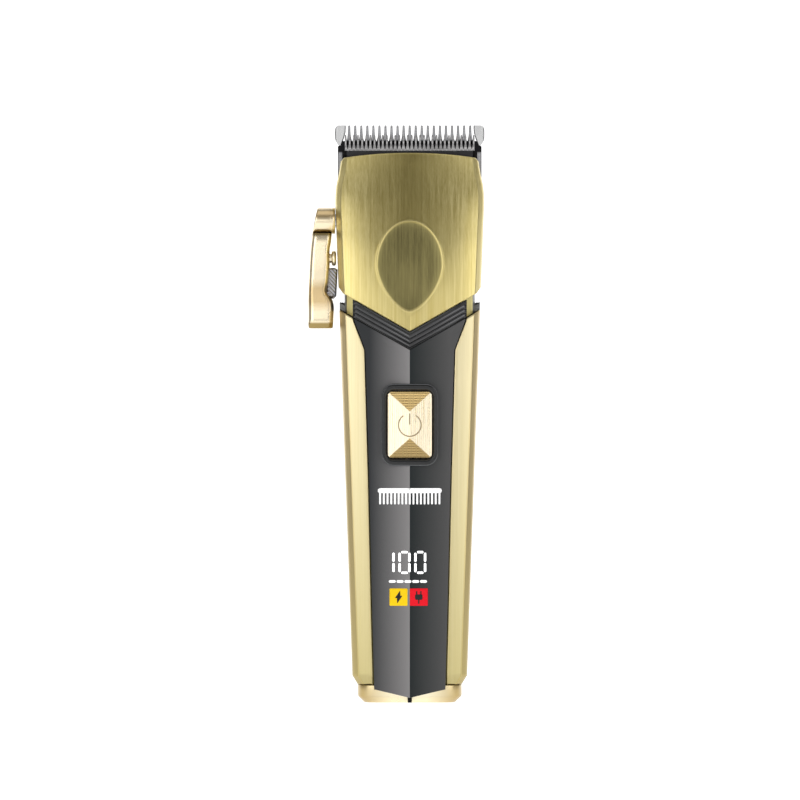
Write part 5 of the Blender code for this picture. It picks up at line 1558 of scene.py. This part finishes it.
@dataclass
class TaperLever:
    """Thumb lever: a slanted round hub, a curved arm with a hooked inner edge, and a knurled runner."""

    pivot: tuple = (-3.0, 149.9)
    detent: float = 138.2
    hub_radius: float = 4.1
    skirt_hole: float = 3.4
    outer_edge: tuple = ((116.3, -31.5), (117.0, -31.62), (121.0, -31.64), (126.3, -31.6), (135.9, -31.25),
                         (141.0, -30.9), (147.5, -30.2))
    inner_edge: tuple = ((116.3, -24.05), (117.2, -23.9), (120.0, -23.75), (123.1, -23.65), (125.2, -24.1),
                         (127.3, -25.65), (131.0, -25.3), (134.5, -25.0), (136.5, -24.93), (140.8, -24.93),
                         (143.5, -24.5), (147.5, -24.2))
    front_edge: tuple = ((116.3, -5.9), (117.4, -6.5), (118.6, -6.80), (121.0, -6.82), (124.0, -6.80),
                         (127.0, -6.80), (131.0, -6.9), (136.0, -7.05), (141.0, -7.05), (144.5, -6.9),
                         (146.0, -6.4))
    back_edge: tuple = ((116.3, -0.7), (117.4, 0.35), (118.6, 0.85), (124.0, 0.4), (131.0, 0.85),
                        (147.5, 0.9))

    def hub(self, builder: MeshBuilder) -> None:
        """Round boss about X, whose outer face leans out towards its foot."""
        turn = np.linspace(0.0, 2 * math.pi, 72, endpoint=False)[None, :]
        share = np.array([0.0, 0.0, 0.04, 0.1, 0.5, 0.88, 0.95, 0.985, 1.0, 1.0, 0.9, 0.9])[:, None]
        size = np.array([0.55, 0.93, 0.975, 1.0, 1.0, 1.0, 0.99, 0.965, 0.93, 0.62, 0.58, 0.3])[:, None]
        radius = self.hub_radius * size
        y = self.pivot[0] + radius * np.cos(turn)
        z = self.pivot[1] + radius * np.sin(turn)
        outer = -29.6 + 0.195 * (z - self.pivot[1])
        builder.grid(np.stack([-24.2 + (outer + 24.2) * share, y, z], axis=-1), wrap=True, cap=True)
        reach = np.array([self.skirt_hole, self.skirt_hole, 3.95, 4.05, 4.05, self.skirt_hole])[:, None]
        along = np.array([-24.0, -23.3, -23.3, -23.4, -24.6, -24.6])[:, None]
        skirt = np.stack(np.broadcast_arrays(along, self.pivot[0] + reach * np.cos(turn),
                                             self.pivot[1] + reach * np.sin(turn)), axis=-1)
        builder.grid(np.concatenate([skirt, skirt[:1]]), wrap=True)

    def arm(self, builder: MeshBuilder) -> None:
        """Swept arm: squarish sections between four edge curves, drawn in at the foot."""
        rise = np.concatenate([[116.3, 116.32, 116.4], np.linspace(116.5, 146.0, 140)])[:, None]
        turn = np.linspace(0.0, 2 * math.pi, 56, endpoint=False)[None, :]
        side, ahead = squircle(turn, 5.0)
        inner = curve_through(self.inner_edge, rise)
        outer = curve_through(self.outer_edge, rise)
        front = curve_through(self.front_edge, rise)
        back = curve_through(self.back_edge, rise)
        foot = np.ones_like(rise)
        foot[:3, 0] = (0.7, 0.88, 0.96)
        x = (inner + outer) / 2 + (inner - outer) / 2 * side * foot
        y = (front + back) / 2 + (back - front) / 2 * ahead * foot
        builder.grid(np.stack(np.broadcast_arrays(x, y, rise + 0.0 * turn), axis=-1), wrap=True, cap=True)

    def runner(self) -> bpy.types.Object:
        """Knurled runner between the arm and the body: diagonal ridges from two crossed waves."""
        rise = np.linspace(125.6, 135.2, 81)[:, None]
        turn = np.linspace(0.0, 2 * math.pi, 96, endpoint=False)[None, :]
        side, ahead = squircle(turn, 6.0)
        middle = -24.25 + 0.045 * (rise - 130.0)
        end = np.minimum(smoothstep(125.5, 126.6, rise), smoothstep(135.3, 134.6, rise))
        size = 0.55 + 0.45 * end
        x = middle + 1.45 * side * size
        y = self.pivot[0] + 2.7 * ahead * size
        ridge = np.sin(2 * np.pi * (rise + 1.1 * y) / 1.25)
        x = x + 0.10 * ridge * np.sign(side) * end
        y = y + 0.10 * np.sin(2 * np.pi * (rise + 1.1 * x) / 1.25) * np.sign(ahead) * end
        grid = np.stack(np.broadcast_arrays(x, y, rise + 0.0 * turn), axis=-1)
        return MeshBuilder().grid(grid, wrap=True, cap=True).build("lever_runner", smooth=60.0)

    def ball(self) -> bpy.types.Object:
        """Detent pin with a head whose rim is rounded like a button."""
        centre = (0.0, self.pivot[0], self.detent)
        stem = round_bar(centre, 0, -25.9, -24.0, 1.45, sides=32)
        head = round_bar(centre, 0, -24.36, -22.95, 2.35, 0.6, sides=48)
        builder = MeshBuilder().grid(stem, wrap=True, cap=True).grid(head, wrap=True, cap=True)
        return builder.build("detent_ball", smooth=50.0)

    def build(self, shop: Workshop) -> None:
        """Make the lever, its runner and its detent."""
        builder = MeshBuilder()
        self.hub(builder)
        self.arm(builder)
        shop.hand_over(builder.build("taper_lever_arm", smooth=45.0), "lever", Body.LEVER, Slot.GOLD_SATIN,
                       "taper_lever")
        shop.hand_over(self.runner(), "knurl", Body.LEVER, Slot.CUTTER, "lever_grip")
        shop.hand_over(self.ball(), "ball", Body.DETENT, Slot.GOLD_SATIN, "detent_pin")


@dataclass
class BladeSet:
    """Fixed blade with tapered teeth and broad corner teeth, and the moving cutter."""

    front: float = 4.2
    back: float = 6.8
    low: float = 150.0
    tip: float = 180.0
    pitch: float = 1.894
    teeth: int = 21
    cutter_pitch: float = 1.294
    cutter_teeth: int = 32
    cutter_front: float = 1.8
    cutter_back: float = 3.95
    screw_x: float = 18.5
    screw_z: float = 160.0

    @staticmethod
    def bar_ring(left: np.ndarray, right: np.ndarray, front: np.ndarray, back: np.ndarray, z: np.ndarray,
                 ease: float) -> np.ndarray:
        """Eight-sided sections of a bar that rises along Z, corners cut by ease.

        Args:
            left: x of its left side for each row.
            right: x of its right side.
            front: y of its front.
            back: y of its back.
            z: its heights.
            ease: how much each corner is cut.

        Returns:
            Rings of shape (..., rows, 8, 3).
        """
        left, right, front, back, z = np.broadcast_arrays(left, right, front, back, z)
        cut_x = np.minimum(ease, (right - left) * 0.3)
        cut_y = np.minimum(ease, (back - front) * 0.3)
        x = np.stack([left + cut_x, right - cut_x, right, right,
                      right - cut_x, left + cut_x, left, left], axis=-1)
        y = np.stack([front, front, front + cut_y, back - cut_y,
                      back, back, back - cut_y, front + cut_y], axis=-1)
        return np.stack([x, y, np.repeat(z[..., None], 8, axis=-1)], axis=-1)

    def back_at(self, z: np.ndarray) -> np.ndarray:
        """The fixed blade's back, ground thinner towards the tips."""
        return line_through(((self.low, self.back), (171.0, self.back), (self.tip, 5.3)), z)

    def fixed_plate(self) -> bpy.types.Object:
        """The plate and its fine teeth, each narrowing from a filleted root to a blunt point."""
        z = self.low + np.array([0.0, 0.25, 2.0, 2.5, 18.0, 21.0, 23.4, 24.0, 25.1])
        half = np.array([20.3, 20.5, 22.3, 22.5, 22.5, 22.5, 22.5, 21.6, 21.0])
        plate = self.bar_ring(-half, half, self.front, self.back_at(z), z, 0.25)
        rows = np.array([174.2, 174.9, 175.4, 175.9, 176.6, 177.6, 179.0, 179.6, 179.88, 180.0])
        width = np.array([0.95, 0.92, 0.80, 0.64, 0.52, 0.42, 0.35, 0.33, 0.27, 0.16])
        centres = (np.arange(self.teeth) - (self.teeth - 1) / 2)[:, None] * self.pitch
        back = self.back_at(rows)
        teeth = self.bar_ring(centres - width, centres + width, self.front, back, rows[None], 0.14)
        builder = MeshBuilder().grid(plate, wrap=True, cap=True).stack(teeth)
        piece = builder.build("fixed_blade_comb", smooth=25.0)
        holes = MeshBuilder()
        for x in (-self.screw_x, self.screw_x):
            holes.grid(round_bar((x, 0.0, self.screw_z), 1, 3.0, 8.0, 1.5, sides=28), wrap=True, cap=True)
        return carve(piece, [holes.build("blade_holes")])

    def corner_teeth(self) -> bpy.types.Object:
        """The broad tooth at each end of the fixed blade, with a rounded outer corner."""
        z = np.array([173.7, 173.85, 174.3, 175.2, 176.0, 177.8, 178.9, 179.4, 179.75, 179.95, 180.0])
        outer = np.array([22.15, 22.3, 22.7, 23.2, 23.36, 23.4, 23.32, 23.15, 22.85, 22.5, 22.2])
        inner = np.array([21.5, 21.42, 21.25, 20.9, 20.6, 20.1, 20.02, 20.0, 20.0, 20.05, 20.2])
        builder = MeshBuilder()
        for sign in (-1.0, 1.0):
            left, right = (inner, outer) if sign > 0 else (-outer, -inner)
            builder.grid(self.bar_ring(left, right, self.front - 0.12, self.back_at(z) + 0.02, z, 0.3),
                         wrap=True, cap=True)
        return builder.build("blade_corner_teeth", smooth=40.0)

    def cutter(self) -> bpy.types.Object:
        """The moving cutter: a bevelled bar, its finer teeth and the plate behind the bracket."""
        front, back = self.cutter_front, self.cutter_back
        z = np.array([171.5, 171.65, 172.3, 172.6])
        bar_front = np.array([front + 0.1, front, front, front + 0.3])
        bar = self.bar_ring(-20.3, 20.3, bar_front, back, z, 0.1)
        rows = np.array([172.1, 172.4, 173.2, 174.0, 174.2, 174.9, 176.5, 176.9, 177.0])
        width = np.array([0.62, 0.60, 0.46, 0.28, 0.28, 0.32, 0.27, 0.20, 0.10])
        tooth_front = front + np.array([0.0, 0.0, 0.12, 0.24, 0.45, 1.1, 1.3, 1.4, 1.5])
        centres = (np.arange(self.cutter_teeth) - (self.cutter_teeth - 1) / 2)[:, None] * self.cutter_pitch
        left = np.maximum(centres - width, -20.3)
        right = np.minimum(centres + width, 20.3)
        teeth = self.bar_ring(left, right, tooth_front, back, rows[None], 0.09)
        neck = self.bar_ring(-17.8, 17.8, front + 0.1, back - 0.1, np.array([167.0, 171.8]), 0.1)
        tail = self.bar_ring(-14.9, 14.9, front + 0.15, back - 0.15, np.array([160.0, 160.2, 167.4]), 0.1)
        builder = MeshBuilder().stack(teeth)
        for part in (bar, neck, tail):
            builder.grid(part, wrap=True, cap=True)
        return builder.build("cutter_comb", smooth=25.0)

    def lip(self) -> bpy.types.Object:
        """Black strip between the cutter and the cover's arched edge."""
        x = np.linspace(-21.1, 21.1, 61)[None, :]
        low = 171.35 - 1.6 * (x / 21.3) ** 2 - 0.5 * np.clip((np.abs(x) - 20.2) / 1.1, 0.0, 1.0) ** 2
        rise = np.linspace(0.0, 1.0, 4)[:, None]
        z = low + (171.95 - low) * rise
        sheet = np.stack(np.broadcast_arrays(x + 0.0 * rise, 0.45 + 0.0 * z, z), axis=-1)
        return thicken(MeshBuilder().grid(sheet).build("blade_bracket_lip", (0.0, 20.0, 171.0), 60.0), 1.0)

    def build(self, shop: Workshop) -> None:
        """Make the blade, the cutter and the strip under them."""
        shop.hand_over(self.lip(), "lip", Body.HANDLE, Slot.BLACK)
        shop.hand_over(self.fixed_plate(), "blade", Body.HANDLE, Slot.BLADE, "fixed_blade")
        shop.hand_over(self.corner_teeth(), "polished", Body.HANDLE, Slot.BLADE)
        shop.hand_over(self.cutter(), "cutter", Body.CUTTER, Slot.CUTTER, "cutter_blade")


@dataclass
class NeckWedges:
    """Dim metal blocks that fill the notch between the neck and the top of the handle's front shell."""

    form: OuterForm
    inner: float = 20.0
    outer: float = 21.8

    def build(self, shop: Workshop) -> None:
        """Make both blocks: sections along X whose foot follows the V seam and whose top falls inwards."""
        x = np.linspace(self.inner, self.outer, 6)[:, None]
        foot = 109.75 + self.form.v_slope * x
        top = 124.55 - 1.0 * (1.0 - (x - self.inner) / (self.outer - self.inner))
        front, step, rear = -8.5, -6.6, -0.5
        y = np.array([front + 0.3, front, front, front + 0.3, step, step, rear, rear])[None, :] + 0.0 * x
        ledge = np.full_like(x, 122.6)
        z = np.concatenate([foot, foot + 0.3, top - 0.3, top, top, ledge, ledge, foot], axis=1)
        block = np.stack(np.broadcast_arrays(x, y, z), axis=-1)
        builder = MeshBuilder()
        builder.grid(block, wrap=True, cap=True)
        builder.grid(block * np.array([-1.0, 1.0, 1.0]), wrap=True, cap=True)
        shop.hand_over(builder.build("neck_wedges"), "dim_steel", Body.HANDLE, Slot.BLACK)


@dataclass
class BaseCap:
    """End cap with a chamfered foot and the charging inlet's hole."""

    form: OuterForm
    top: float = 5.38
    half: float = 16.2
    front: float = 15.2
    back: float = 12.6
    inlet: tuple = (9.6, 3.9, 6.0)

    def build(self, shop: Workshop) -> None:
        """Make the cap: superellipse sections that step out over a chamfer, with the inlet cut through."""
        turn = np.radians(np.linspace(0.0, 360.0, 200, endpoint=False))[None, :]
        side_front, ahead_front = squircle(turn, self.form.front_power)
        side_back, ahead_back = squircle(turn, self.form.back_power)
        facing = np.cos(turn) > 0
        side = np.where(facing, side_front, side_back)
        ahead = np.where(facing, ahead_front * self.front, ahead_back * self.back)
        z = np.array([0.0, 0.0, 0.12, 0.4, 1.6, 1.95, 2.3, 5.1, 5.3, self.top])[:, None]
        inset = np.array([2.6, 2.05, 1.85, 1.6, 0.3, 0.08, 0.0, 0.0, 0.02, 0.08])[:, None]
        scale_x = (self.half - inset) / self.half
        scale_y = (self.front - inset) / self.front
        x = self.half * side * scale_x
        y = -ahead * scale_y
        grid = np.stack(np.broadcast_arrays(x, y, z + 0.0 * turn), axis=-1)
        cap = MeshBuilder().grid(grid, wrap=True, cap=True).build("end_cap_body", smooth=35.0)
        width, height, place = self.inlet
        outline = rounded_outline(width, height, 1.6, 8)
        ring = np.stack([outline[:, 0], outline[:, 1] + place, np.zeros(len(outline))], axis=-1)
        hole = np.stack([ring, ring])
        hole[0, :, 2] = -1.0
        hole[1, :, 2] = self.top + 1.0
        carve(cap, [MeshBuilder().grid(hole, wrap=True, cap=True).build("inlet_hole")])
        shop.hand_over(cap, "cap", Body.HANDLE, Slot.GOLD_SATIN, "end_cap")


class CarriedParts:
    """CAD nodes that keep their own shape and get a finish by name or by the record's slot."""

    finish_of_node = {"neck_ring": "neck", "charge_light": "lip"}
    finish_of_slot = {
        "gold_brushed": "shell", "gold_satin": "satin", "panel_gloss": "gloss", "black_plastic": "black",
        "blade_steel": "blade", "cutter_steel": "cutter",
        "fastener_steel": "bright", "spring_steel": "bright",
        "nylon": "nylon", "magnet": "magnet", "winding_copper": "windings", "bronze": "bronze",
        "board_green": "board", "cell_wrap": "wrap", "seal_rubber": "rubber", "lamp_yellow": "yellow",
        "lamp_red": "red", "lead_red": "red_lead", "lead_black": "black_lead",
    }

    def build(self, frame: dict, finishes: Finishes) -> None:
        """Give every node its finish.

        Args:
            finishes: the finishes.
        """
        slots = {part["node"]: part["material_slot"] for part in frame["record"]["subparts"]}
        for name, node in frame["nodes"].items():
            material = finishes.get(self.finish_of_node.get(name, self.finish_of_slot[slots[name]]))
            node.data.materials.clear()
            node.data.materials.append(material)
            LOG.info("%s: kept shape, finish %s", name, material.name)


# ---------------------------------------------------------------- studio

@dataclass(frozen=True)
class SoftBox:
    """One soft light: where it hangs, its size in metres, and its power."""

    name: str
    azimuth: float
    elevation: float
    distance: float
    size: tuple
    power: float
    tint: tuple = (1.0, 1.0, 1.0)


@dataclass
class Studio:
    """Pale floor that sweeps up behind, soft lights and a long lens square to the front."""

    aim: tuple = (-3.03, 0.0, 94.0)
    distance: float = 2200.0
    frame_width: float = 249.7
    sharp_plane: float = -3.0
    sensor: float = 36.0
    boxes: tuple = field(default_factory=lambda: (
        SoftBox("key_left", -33.0, 12.0, 0.85, (0.42, 0.72), 1.9),
        SoftBox("fill_right", 38.0, 12.0, 0.85, (0.42, 0.72), 1.75),
        SoftBox("front_low", 0.0, 3.0, 2.5, (1.32, 0.66), 3.7),
        SoftBox("overhead", 0.0, 76.0, 1.2, (0.90, 0.90), 2.0),
        SoftBox("rear_left", -140.0, 20.0, 0.9, (0.5, 0.8), 1.6),
        SoftBox("rear_right", 140.0, 20.0, 0.9, (0.5, 0.8), 1.6),
    ))

    def sweep(self) -> None:
        """Floor and backdrop: a flat sheet that bends up behind the clipper on a quarter circle."""
        run = np.linspace(-1.9, 0.7, 12)
        bend = np.linspace(0.0, math.pi / 2, 16)[1:]
        radius = 0.45
        y = np.concatenate([run, 0.7 + radius * np.sin(bend), [0.7 + radius]])
        z = np.concatenate([np.zeros(12), radius * (1 - np.cos(bend)), [2.2]])
        x = np.linspace(-0.55, 0.55, 8)
        grid = np.stack(np.broadcast_arrays(x[None, :], y[:, None], z[:, None]), axis=-1) / MM
        floor = MeshBuilder().grid(grid).build("studio_sweep", (0.0, 2000.0, -3000.0), 60.0)
        recipe = Recipe("studio_paper")
        tooth = recipe.noise((40.0, 40.0, 40.0), 2.0)
        pale = recipe.blend(recipe.span(tooth, 0.0, 1.0), (0.60, 0.60, 0.60), (0.62, 0.62, 0.62))
        near = recipe.span(recipe.axis("Y"), 0.0, 1.0, -0.76, -0.57)
        recipe.color(recipe.blend(near, (0.30, 0.30, 0.30), pale))
        recipe.set(Roughness=0.9, Emission_Color=(1.0, 1.0, 1.0, 1.0))
        glow = recipe.math("MULTIPLY", near, 0.82)
        recipe.tree.links.new(glow, recipe.shader.inputs["Emission Strength"])
        floor.data.materials.append(recipe.material)

    def lights(self) -> None:
        """Hang the soft boxes, each turned to the clipper."""
        target = Vector((0.0, 0.0, 0.1))
        for soft in self.boxes:
            lamp = bpy.data.lights.new(soft.name, "AREA")
            lamp.shape = "RECTANGLE"
            lamp.size, lamp.size_y = soft.size
            lamp.energy = soft.power
            lamp.color = soft.tint
            around, up = math.radians(soft.azimuth), math.radians(soft.elevation)
            offset = Vector((math.sin(around) * math.cos(up), -math.cos(around) * math.cos(up), math.sin(up)))
            holder = bpy.data.objects.new(soft.name, lamp)
            holder.location = target + offset * soft.distance
            holder.rotation_euler = (-offset).to_track_quat("-Z", "Y").to_euler()
            bpy.context.scene.collection.objects.link(holder)

    def world(self) -> None:
        """Even pale surround."""
        world = bpy.data.worlds.new("studio")
        world.use_nodes = True
        background = world.node_tree.nodes["Background"]
        background.inputs["Color"].default_value = (1.0, 1.0, 1.0, 1.0)
        background.inputs["Strength"].default_value = 0.33
        bpy.context.scene.world = world

    def camera(self) -> None:
        """Long lens, level and square to the front, framing the given width."""
        lens = bpy.data.cameras.new("front_camera")
        lens.sensor_width = self.sensor
        lens.lens = self.sensor * self.distance / self.frame_width
        lens.clip_end = 20.0
        holder = bpy.data.objects.new("front_camera", lens)
        holder.location = Vector((self.aim[0], self.sharp_plane - self.distance, self.aim[2])) * MM
        holder.rotation_euler = (math.pi / 2, 0.0, 0.0)
        bpy.context.scene.collection.objects.link(holder)
        bpy.context.scene.camera = holder

    def build(self) -> None:
        """Set the whole studio."""
        self.sweep()
        self.lights()
        self.world()
        self.camera()
        bpy.context.scene.view_settings.view_transform = "Standard"


def main() -> None:
    """Build the looks in order."""
    logging.basicConfig(level=logging.INFO, format="%(name)s %(message)s")
    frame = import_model()
    Studio().build()
    finishes = Finishes()
    shop = Workshop(finishes)
    CarriedParts().build(frame, finishes)
    form = OuterForm()
    switch = PowerSwitch()
    panel = FrontPanel(form)
    HeadCover(form).build(shop)
    HandleShells(form, panel).build(shop, switch)
    panel.build(shop, switch)
    SeamTrim(form).build(shop)
    NeckWedges(form).build(shop)
    switch.build(shop)
    PanelMarks(panel).build(shop)
    TaperLever().build(shop)
    BladeSet().build(shop)
    BaseCap(form).build(shop)
    bpy.context.view_layer.update()


if __name__ == "__main__":
    main()
